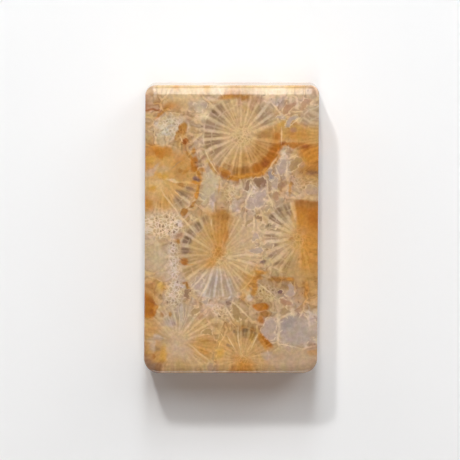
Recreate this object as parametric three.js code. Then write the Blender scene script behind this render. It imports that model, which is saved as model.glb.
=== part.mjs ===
// A slab of fossil coral: one block of agatised coral, squared by hand and polished all over.
// Millimetres, +Z up. The slab lies on its back with the photographed face up.
// +Y runs along the slab to its far end and +X runs across it.
// The origin lies on the surface below, under the middle of the slab's box.
import * as THREE from "three";

// Block
const LENGTH = 36.5;
const THICKNESS = 8.0;
const FAR_WIDTH = 21.9;
const NEAR_WIDTH = 21.95;
// The long sides aren't quite square to the ends: the far end stands this much further along +X.
const LEAN = 0.22;

// Upright corners, which are rounder at the near end than at the far end
const NEAR_CORNER_RADIUS = 1.9;
const FAR_RIGHT_CORNER_RADIUS = 1.15;
const FAR_LEFT_CORNER_RADIUS = 1.3;

// Rounding of the edge of the back
const BACK_EDGE_RADIUS = 0.9;

// The edge of the face is softer. It is part of a flat ellipse: these are its half width, its half
// height and how far its quarter goes before the flat face, which was ground last, cuts it off.
const FACE_EDGE_REACH = 1.7;
const FACE_EDGE_DROP = 0.64;
const FACE_EDGE_TURN = THREE.MathUtils.degToRad(70);

// Fineness of the curved surfaces
const CORNER_STEPS = 14;
const EDGE_STEPS = 9;

// Colour and gloss of the stone as a whole
const STONE_COLOUR = "#c9a06e";
const STONE_ROUGHNESS = 0.16;

/**
 * The four places where the straight sides would meet, anticlockwise from the near left.
 * @returns {{point: THREE.Vector2, radius: number}[]} each corner with its rounding
 */
function squareCorners() {
  const nearMiddle = -LEAN / 2;
  const farMiddle = LEAN / 2;
  const end = LENGTH / 2;
  return [
    {
      point: new THREE.Vector2(nearMiddle - NEAR_WIDTH / 2, -end),
      radius: NEAR_CORNER_RADIUS,
    },
    {
      point: new THREE.Vector2(nearMiddle + NEAR_WIDTH / 2, -end),
      radius: NEAR_CORNER_RADIUS,
    },
    {
      point: new THREE.Vector2(farMiddle + FAR_WIDTH / 2, end),
      radius: FAR_RIGHT_CORNER_RADIUS,
    },
    {
      point: new THREE.Vector2(farMiddle - FAR_WIDTH / 2, end),
      radius: FAR_LEFT_CORNER_RADIUS,
    },
  ];
}

/**
 * The arc that rounds one corner: its centre, and the directions where it starts and ends.
 * @param {{point: THREE.Vector2, radius: number}[]} corners all four corners
 * @param {number} index which corner
 * @returns {{centre: THREE.Vector2, radius: number, start: number, end: number}} the arc
 */
function cornerArc(corners, index) {
  const { point, radius } = corners[index];
  const before = corners[(index + corners.length - 1) % corners.length].point;
  const after = corners[(index + 1) % corners.length].point;
  const arriving = point.clone().sub(before).normalize();
  const leaving = after.clone().sub(point).normalize();
  // The outward normal of a side is its direction turned a quarter clockwise.
  const start = Math.atan2(-arriving.x, arriving.y);
  let end = Math.atan2(-leaving.x, leaving.y);
  if (end < start) end += 2 * Math.PI;
  // The centre lies on the bisector, as far in as the radius and the corner's angle ask.
  const halfTurn = (end - start) / 2;
  const outward = (start + end) / 2;
  const reach = radius / Math.cos(halfTurn);
  const centre = new THREE.Vector2(
    point.x - reach * Math.cos(outward),
    point.y - reach * Math.sin(outward),
  );
  return { centre, radius, start, end };
}

/**
 * The outline at one level, drawn in by a distance from the slab's widest outline.
 * @param {{centre: THREE.Vector2, radius: number, start: number, end: number}[]} arcs corner arcs
 * @param {number} inset how far inside the widest outline it runs
 * @param {number} z its height
 * @returns {THREE.Vector3[]} its points, anticlockwise
 */
function ring(arcs, inset, z) {
  const points = [];
  for (const { centre, radius, start, end } of arcs) {
    for (let step = 0; step <= CORNER_STEPS; step += 1) {
      const angle = THREE.MathUtils.lerp(start, end, step / CORNER_STEPS);
      points.push(
        new THREE.Vector3(
          centre.x + (radius - inset) * Math.cos(angle),
          centre.y + (radius - inset) * Math.sin(angle),
          z,
        ),
      );
    }
  }
  return points;
}

/**
 * The profile of the edge, from the rim of the back round to the rim of the face.
 * @returns {{inset: number, z: number}[]} how far in and how high each ring lies
 */
function edgeProfile() {
  const profile = [];
  for (let step = 0; step <= EDGE_STEPS; step += 1) {
    const angle = (Math.PI / 2) * (step / EDGE_STEPS);
    profile.push({
      inset: BACK_EDGE_RADIUS * (1 - Math.sin(angle)),
      z: BACK_EDGE_RADIUS * (1 - Math.cos(angle)),
    });
  }
  const wallTop = THICKNESS - FACE_EDGE_DROP * Math.sin(FACE_EDGE_TURN);
  for (let step = 0; step <= EDGE_STEPS; step += 1) {
    const angle = FACE_EDGE_TURN * (step / EDGE_STEPS);
    profile.push({
      inset: FACE_EDGE_REACH * (1 - Math.cos(angle)),
      z: wallTop + FACE_EDGE_DROP * Math.sin(angle),
    });
  }
  return profile;
}

/**
 * Moves the rings so that the middle of the widest outline's box lies on the Z axis.
 * @param {THREE.Vector3[][]} rings every ring of the slab
 */
function centreOnOrigin(rings) {
  const box = new THREE.Box3().setFromPoints(rings.flat());
  const middle = box.getCenter(new THREE.Vector3()).setZ(0);
  for (const point of rings.flat()) point.sub(middle);
}

/**
 * The closed solid of the slab: stacked rings, with a flat face on top and a flat back below.
 * @returns {THREE.BufferGeometry} the solid
 */
function slabGeometry() {
  const corners = squareCorners();
  const arcs = corners.map((_, index) => cornerArc(corners, index));
  const rings = edgeProfile().map(({ inset, z }) => ring(arcs, inset, z));
  centreOnOrigin(rings);

  const points = rings.flat();
  const around = rings[0].length;
  const backMiddle = points.push(new THREE.Vector3(0, 0, 0)) - 1;
  const faceMiddle = points.push(new THREE.Vector3(0, 0, THICKNESS)) - 1;
  const lastRing = (rings.length - 1) * around;

  const index = [];
  for (let i = 0; i < around; i += 1) {
    const next = (i + 1) % around;
    index.push(backMiddle, next, i);
    index.push(faceMiddle, lastRing + i, lastRing + next);
    for (let level = 0; level < lastRing; level += around) {
      const above = level + around;
      index.push(level + i, level + next, above + next);
      index.push(level + i, above + next, above + i);
    }
  }

  const geometry = new THREE.BufferGeometry().setFromPoints(points);
  geometry.setIndex(index);
  geometry.computeVertexNormals();
  return geometry;
}

const slab = new THREE.Mesh(
  slabGeometry(),
  new THREE.MeshStandardMaterial({
    color: STONE_COLOUR,
    roughness: STONE_ROUGHNESS,
    metalness: 0,
  }),
);
slab.name = "fossil_coral_slab";

const fossilCoral = new THREE.Group();
fossilCoral.add(slab);

export default fossilCoral;
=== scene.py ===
import logging
import math
from collections.abc import Iterable
from dataclasses import dataclass, field
from enum import Enum

import bmesh
import bpy
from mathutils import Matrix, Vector, noise


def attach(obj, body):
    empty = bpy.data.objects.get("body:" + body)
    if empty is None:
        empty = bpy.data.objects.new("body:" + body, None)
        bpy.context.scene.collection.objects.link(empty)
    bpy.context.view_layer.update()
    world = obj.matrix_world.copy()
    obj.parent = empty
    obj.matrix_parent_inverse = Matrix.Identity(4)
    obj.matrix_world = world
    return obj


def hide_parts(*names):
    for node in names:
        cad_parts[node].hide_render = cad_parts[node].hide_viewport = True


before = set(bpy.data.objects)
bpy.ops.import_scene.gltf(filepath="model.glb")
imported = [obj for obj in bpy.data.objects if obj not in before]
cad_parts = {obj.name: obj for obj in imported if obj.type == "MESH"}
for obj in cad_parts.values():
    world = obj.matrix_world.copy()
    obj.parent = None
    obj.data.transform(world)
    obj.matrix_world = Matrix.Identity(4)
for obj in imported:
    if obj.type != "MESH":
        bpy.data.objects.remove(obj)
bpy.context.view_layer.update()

SLAB_NODE = "fossil_coral_slab"
MM = 0.001

# How softly the marks of the stone end, as a part of their size, and how deep they reach
HAZE_EDGE = 0.9
HAZE_DEPTH = 6.0
CELL_EDGE = 0.35
VEIN_EDGE = 0.65
VEIN_DEPTH = 3.0

BLACK = (0.0, 0.0, 0.0, 1.0)

LOG = logging.getLogger("fossil_coral")

Socket = bpy.types.NodeSocket
Value = Socket | float
Triple = tuple[float, float, float]


def linear_light(channel: float) -> float:
    """Turns a channel of a screen colour into linear light, by the curve that screens use."""
    return channel / 12.92 if channel <= 0.04045 else ((channel + 0.055) / 1.055) ** 2.4


class Pigment(Enum):
    """The stone's own colours, as red, green and blue from 0 to 255."""

    CREAM = (230, 202, 158)
    PALE_CREAM = (240, 218, 180)
    TAN = (200, 162, 112)
    BEIGE = (201, 167, 129)
    ROSE_BEIGE = (205, 169, 139)
    GREENISH_CREAM = (202, 172, 124)
    GREY_GREEN = (198, 175, 140)
    GREY_TAN = (184, 156, 124)
    OLIVE_TAN = (190, 152, 102)
    OLIVE = (168, 135, 90)
    DARK_OLIVE = (138, 110, 78)
    LAVENDER = (185, 160, 142)
    PALE_LAVENDER = (201, 176, 154)
    CHALCEDONY = (180, 160, 144)
    BLUE_GREY = (146, 136, 136)
    SMOKE = (146, 112, 86)
    PLUM = (124, 92, 86)
    PINK_BROWN = (180, 134, 102)
    GOLD = (209, 161, 96)
    OCHRE = (196, 145, 80)
    YELLOW_OCHRE = (208, 156, 72)
    ORANGE = (194, 128, 52)
    DEEP_ORANGE = (178, 108, 40)
    BROWN_OCHRE = (168, 114, 56)
    RUST = (156, 90, 44)

    def rgba(self) -> tuple[float, float, float, float]:
        """Gives the colour in linear light, with full alpha."""
        red, green, blue = (linear_light(channel / 255) for channel in self.value)
        return (red, green, blue, 1.0)


# The pigments by their own names, in the same order
(CREAM, PALE_CREAM, TAN, BEIGE, ROSE_BEIGE, GREENISH_CREAM, GREY_GREEN, GREY_TAN, OLIVE_TAN,
 OLIVE, DARK_OLIVE, LAVENDER, PALE_LAVENDER, CHALCEDONY, BLUE_GREY, SMOKE, PLUM, PINK_BROWN,
 GOLD, OCHRE, YELLOW_OCHRE, ORANGE, DEEP_ORANGE, BROWN_OCHRE, RUST) = Pigment


@dataclass(frozen=True)
class Cup:
    """One coral cup, which shows on the face as a flower of fine walls.

    Sizes are in millimetres. The place is measured from the middle of the face.
    Its walls are either a number of evenly spaced ones or the direction of each, in degrees from
    +X. The lean is how far its axis shifts across and along for each millimetre of height.
    """

    across: float
    along: float
    half_width: float
    half_length: float
    lean: tuple[float, float]
    walls: int | tuple[int, ...]

    def has_stated_walls(self) -> bool:
        """Tells whether the cup states the direction of each wall."""
        return isinstance(self.walls, tuple)

    def wall_count(self) -> int:
        """Gives how many walls the cup has."""
        return len(self.walls) if self.has_stated_walls() else self.walls

    def rim_spacing(self) -> float:
        """Gives the distance between two walls at the rim."""
        return math.pi * (self.half_width + self.half_length) / self.wall_count()

    def wall_turns(self) -> list[float]:
        """Gives each stated wall's place on a line from 0 to 1 that starts at -X."""
        return sorted((angle / 360 + 0.5) % 1.0 for angle in self.walls)


@dataclass(frozen=True)
class Oval:
    """An oval place on the face, in millimetres from its middle, and how deep it reaches.

    The turn is in degrees, anticlockwise from +X to the oval's long way. The edge is the part of
    the oval's size over which it fades.
    """

    across: float
    along: float
    half_long: float
    half_wide: float
    turn: float = 0.0
    strength: float = 1.0
    edge: float = 0.4
    depth: float = 5.0


@dataclass(frozen=True)
class Stain:
    """A place where a pigment has soaked into the stone; one of them, the pale band along the far
    edge, is a painted highlight instead.
    """

    pigment: Pigment
    place: Oval
    walled: bool = False

    def is_haze(self) -> bool:
        """Tells whether it has no border."""
        return self.place.edge >= HAZE_EDGE


@dataclass(frozen=True)
class RingStain:
    """A stain that follows a cup's ring, in that cup's own terms.

    The direction and the half turn are in degrees, anticlockwise from +X. The distance and the half
    distance are parts of the way from the cup's heart to its rim.
    """

    pigment: Pigment
    cup: int
    direction: float
    distance: float
    half_turn: float
    half_distance: float
    strength: float = 0.85
    edge: float = 0.6

    def places(self) -> list[Oval]:
        """Gives its place on the unrolled ring, twice where it crosses the line where that ends."""
        middle = (self.direction + 180) % 360 - 180
        middles = [middle]
        if abs(middle) + self.half_turn > 180:
            middles.append(middle - math.copysign(360, middle))
        return [
            Oval(math.radians(angle), self.distance, math.radians(self.half_turn),
                 self.half_distance, 0.0, self.strength, self.edge, 1.0)
            for angle in middles
        ]


def ring_stains(marks: dict[int, tuple[tuple, ...]]) -> tuple[RingStain, ...]:
    """Describes the stains of several cups' rings.

    Args:
        marks: Each cup's stains: the pigment, then the direction and so on, in RingStain's order.

    Returns:
        The stains, in the order given.
    """
    return tuple(
        RingStain(pigment, cup, *terms)
        for cup, rows in marks.items()
        for pigment, *terms in rows
    )


@dataclass(frozen=True)
class Vein:
    """A straight thread of pale wall from one point of the face to another, in millimetres."""

    start: tuple[float, float]
    end: tuple[float, float]
    half_wide: float = 0.1
    strength: float = 0.9

    def place(self) -> Oval:
        """Gives the thread as a very long oval."""
        run = (self.end[0] - self.start[0], self.end[1] - self.start[1])
        return Oval(
            across=(self.start[0] + self.end[0]) / 2,
            along=(self.start[1] + self.end[1]) / 2,
            half_long=math.hypot(*run) / 2,
            half_wide=self.half_wide,
            turn=math.degrees(math.atan2(run[1], run[0])),
            strength=self.strength,
            edge=VEIN_EDGE,
            depth=VEIN_DEPTH,
        )


def stain(pigment: Pigment, across: float, along: float, half_long: float, half_wide: float,
          turn: float = 0.0, strength: float = 0.85, edge: float = 0.65) -> Stain:
    """Describes one stain with its own border; the same form also lays on the painted highlight
    along the far edge.

    Args:
        pigment: What has soaked in.
        across: Its middle along X, in millimetres from the middle of the face.
        along: Its middle along Y, in the same way.
        half_long: Half of its longer size.
        half_wide: Half of its shorter size.
        turn: The direction of its longer size, in degrees anticlockwise from +X.
        strength: How much of the stone's own colour it covers.
        edge: The part of its size over which it fades.

    Returns:
        The stain.
    """
    return Stain(pigment, Oval(across, along, half_long, half_wide, turn, strength, edge))


def haze(pigment: Pigment, across: float, along: float, half_long: float, half_wide: float,
         turn: float = 0.0, strength: float = 0.7) -> Stain:
    """Describes a broad stain without a border, in the same terms as stain().

    Returns:
        The stain.
    """
    place = Oval(across, along, half_long, half_wide, turn, strength, HAZE_EDGE, HAZE_DEPTH)
    return Stain(pigment, place)


def cell(pigment: Pigment, across: float, along: float, half_long: float, half_wide: float,
         turn: float = 0.0, strength: float = 0.85) -> Stain:
    """Describes a closed cell with a pale wall of its own, in the same terms as stain().

    Returns:
        The stain that fills it.
    """
    place = Oval(across, along, half_long, half_wide, turn, strength, CELL_EDGE)
    return Stain(pigment, place, walled=True)


# The seven cups that are named below, in that order, then two that lie mostly beyond the edge
CUPS = (
    Cup(1.35, 12.0, 4.85, 5.2, (0.05, 0.02),
        (19, 31, 50, 64, 77, 95, 110, 124, 137, 155, 172, 187, 203, 219, 234, 252, 265, 286,
         302, 320, 334, 349)),
    Cup(12.6, 11.8, 4.3, 4.4, (-0.06, 0.04), 22),
    Cup(-8.6, 6.1, 4.3, 4.6, (0.08, -0.05), 20),
    Cup(-1.6, -3.2, 4.9, 5.45, (-0.04, 0.06),
        (0, 14, 29, 46, 58, 71, 88, 105, 120, 135, 150, 166, 181, 196, 213, 229, 247, 262, 276,
         290, 304, 317, 331, 346)),
    Cup(8.7, -1.0, 4.7, 4.9, (0.03, -0.08),
        (15, 32, 48, 65, 82, 104, 122, 139, 154, 170, 187, 204, 220, 237, 252, 270, 284, 300,
         318, 336, 354)),
    Cup(-6.8, -14.2, 4.6, 5.0, (0.06, 0.05), 26),
    Cup(1.4, -16.4, 3.3, 4.0, (-0.05, -0.03), 17),
    Cup(14.2, -13.4, 3.6, 4.6, (-0.07, 0.05), 21),
    Cup(-12.6, 16.0, 2.6, 3.6, (-0.05, -0.06), 16),
)

# The places of the named cups in the list above
FAR_MIDDLE, FAR_RIGHT, UPPER_LEFT, MIDDLE, RIGHT, NEAR_LEFT, NEAR_MIDDLE = range(7)

RING_STAINS = ring_stains({
    FAR_MIDDLE: (
        (GREY_TAN, 152, 0.8, 38, 0.32, 0.7),
        (GREY_TAN, 205, 0.75, 30, 0.25, 0.4),
        (OCHRE, 2, 0.85, 20, 0.4),
        (GREY_TAN, 42, 0.82, 28, 0.28, 0.7),
        (PINK_BROWN, 84, 0.95, 24, 0.2, 0.7),
        (BROWN_OCHRE, 96, 0.98, 22, 0.12, 0.6),
        (OCHRE, 290, 0.78, 56, 0.4, 0.75),
        (DEEP_ORANGE, 318, 0.9, 40, 0.2, 0.9),
        (RUST, 322, 0.88, 22, 0.09, 0.5),
        (BROWN_OCHRE, 262, 0.9, 30, 0.12, 0.6),
        (ORANGE, 280, 1.03, 62, 0.07, 0.9),
        (BROWN_OCHRE, 328, 0.55, 42, 0.22, 0.5),
    ),
    FAR_RIGHT: (
        (ORANGE, 215, 0.78, 26, 0.3, 0.95),
        (DEEP_ORANGE, 203, 0.75, 9, 0.14, 0.8),
        (OCHRE, 178, 0.8, 26, 0.4),
        (GREY_TAN, 135, 0.85, 24, 0.3, 0.8),
    ),
    UPPER_LEFT: (
        (GOLD, 0, 0.4, 190, 0.6, 0.6),
        (OCHRE, 18, 0.9, 42, 0.25, 0.8),
        (ORANGE, 104, 0.84, 40, 0.16, 0.45),
        (BROWN_OCHRE, 24, 0.55, 26, 0.2, 0.4),
        (DEEP_ORANGE, 95, 0.8, 9, 0.14, 0.7),
        (BEIGE, 272, 0.96, 36, 0.2, 0.8),
        (GREY_TAN, 318, 0.75, 26, 0.22, 0.7),
        (ORANGE, 12, 1.03, 42, 0.06),
    ),
    MIDDLE: (
        (OCHRE, 98, 0.6, 36, 0.55),
        (BROWN_OCHRE, 86, 0.88, 20, 0.2, 0.6),
        (OCHRE, 190, 0.32, 64, 0.22, 0.5),
        (OLIVE_TAN, 0, 0.85, 25, 0.3, 0.4),
        (OLIVE_TAN, 165, 0.62, 66, 0.5, 0.75),
        (GREY_TAN, 150, 0.88, 44, 0.16, 0.8),
        (ORANGE, 188, 0.9, 6, 0.1, 0.8),
        (PALE_LAVENDER, 262, 0.74, 42, 0.48, 0.9),
        (GREY_TAN, 262, 0.66, 40, 0.3, 0.5),
        (GREY_TAN, 290, 0.85, 28, 0.25, 0.7),
        (TAN, 322, 0.7, 40, 0.45, 0.6),
        (OCHRE, 328, 1.0, 28, 0.14),
        (ORANGE, 327, 1.08, 14, 0.1, 0.8),
        (BEIGE, 22, 0.8, 42, 0.45),
    ),
    RIGHT: (
        (ORANGE, 36, 0.5, 72, 0.54, 0.75, 0.5),
        (ORANGE, 88, 0.72, 18, 0.32, 0.8, 0.45),
        (DEEP_ORANGE, 52, 0.78, 48, 0.28, 0.8, 0.6),
        (BROWN_OCHRE, 78, 0.9, 26, 0.13, 0.75, 0.7),
        (TAN, 6, 0.5, 34, 0.3, 0.5, 0.85),
        (TAN, 60, 0.2, 60, 0.16, 0.5),
        (OCHRE, 200, 0.12, 110, 0.26, 0.8),
        (OLIVE_TAN, 195, 0.4, 80, 0.26, 0.6),
        (OLIVE, 264, 0.85, 30, 0.36, 0.5),
        (RUST, 74, 0.97, 36, 0.06, 0.6, 0.9),
        (GREY_TAN, 132, 0.82, 30, 0.34),
        (BEIGE, 184, 0.78, 46, 0.34),
        (OLIVE_TAN, 258, 0.82, 36, 0.4),
        (OCHRE, 300, 0.7, 38, 0.6),
    ),
    NEAR_LEFT: (
        (BEIGE, 90, 0.2, 190, 0.36, 0.7),
        (OCHRE, 350, 0.7, 26, 0.5, 0.7),
        (TAN, 35, 0.6, 22, 0.5, 0.5),
        (GREY_TAN, 86, 0.7, 32, 0.4),
        (OLIVE, 168, 0.4, 25, 0.25, 0.5),
        (OCHRE, 165, 0.78, 28, 0.24, 0.7),
        (OCHRE, 216, 0.62, 28, 0.26, 0.7),
        (PLUM, 232, 0.98, 26, 0.2, 0.6),
        (OLIVE_TAN, 272, 0.72, 26, 0.34),
    ),
    NEAR_MIDDLE: (
        (OCHRE, 90, 0.5, 190, 0.9, 0.5),
        (OLIVE, 76, 0.88, 42, 0.26, 0.8),
        (BROWN_OCHRE, 88, 0.98, 12, 0.1, 0.8),
        (GOLD, 156, 0.9, 34, 0.3),
        (ORANGE, 266, 0.4, 70, 0.4),
        (ORANGE, 36, 1.0, 22, 0.14, 0.9),
    ),
})

# Cells between a cup's rays that are dark, in the same terms
DARK_CELLS = ring_stains({
    FAR_MIDDLE: (
        (SMOKE, 172, 0.8, 62, 0.36, 1.0),
        (SMOKE, 38, 0.72, 34, 0.24, 0.7),
        (SMOKE, 262, 0.85, 26, 0.2, 0.7),
        (SMOKE, 318, 0.85, 34, 0.2, 0.6),
        (SMOKE, 2, 0.6, 16, 0.3, 0.5),
        (SMOKE, 268, 0.55, 20, 0.2, 0.5),
    ),
    MIDDLE: (
        (SMOKE, 148, 0.88, 46, 0.16, 1.0, 0.4),
        (SMOKE, 200, 0.75, 18, 0.3, 0.7),
        (SMOKE, 262, 0.7, 44, 0.3, 0.4),
        (SMOKE, 310, 0.85, 26, 0.18, 0.5),
    ),
    RIGHT: (
        (SMOKE, 136, 0.76, 44, 0.26, 1.0, 0.4),
        (SMOKE, 208, 0.76, 44, 0.22, 0.9, 0.4),
        (SMOKE, 80, 0.85, 30, 0.2, 0.5),
    ),
    UPPER_LEFT: (
        (SMOKE, 325, 0.7, 36, 0.26, 0.8),
        (SMOKE, 60, 0.85, 26, 0.18, 0.5),
    ),
    NEAR_MIDDLE: (
        (SMOKE, 75, 0.85, 40, 0.24, 1.0),
    ),
    NEAR_LEFT: (
        (SMOKE, 84, 0.7, 20, 0.32, 0.6),
        (SMOKE, 200, 0.7, 44, 0.26, 0.6),
    ),
    FAR_RIGHT: (
        (SMOKE, 150, 0.85, 60, 0.25, 0.5),
    ),
})

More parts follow.
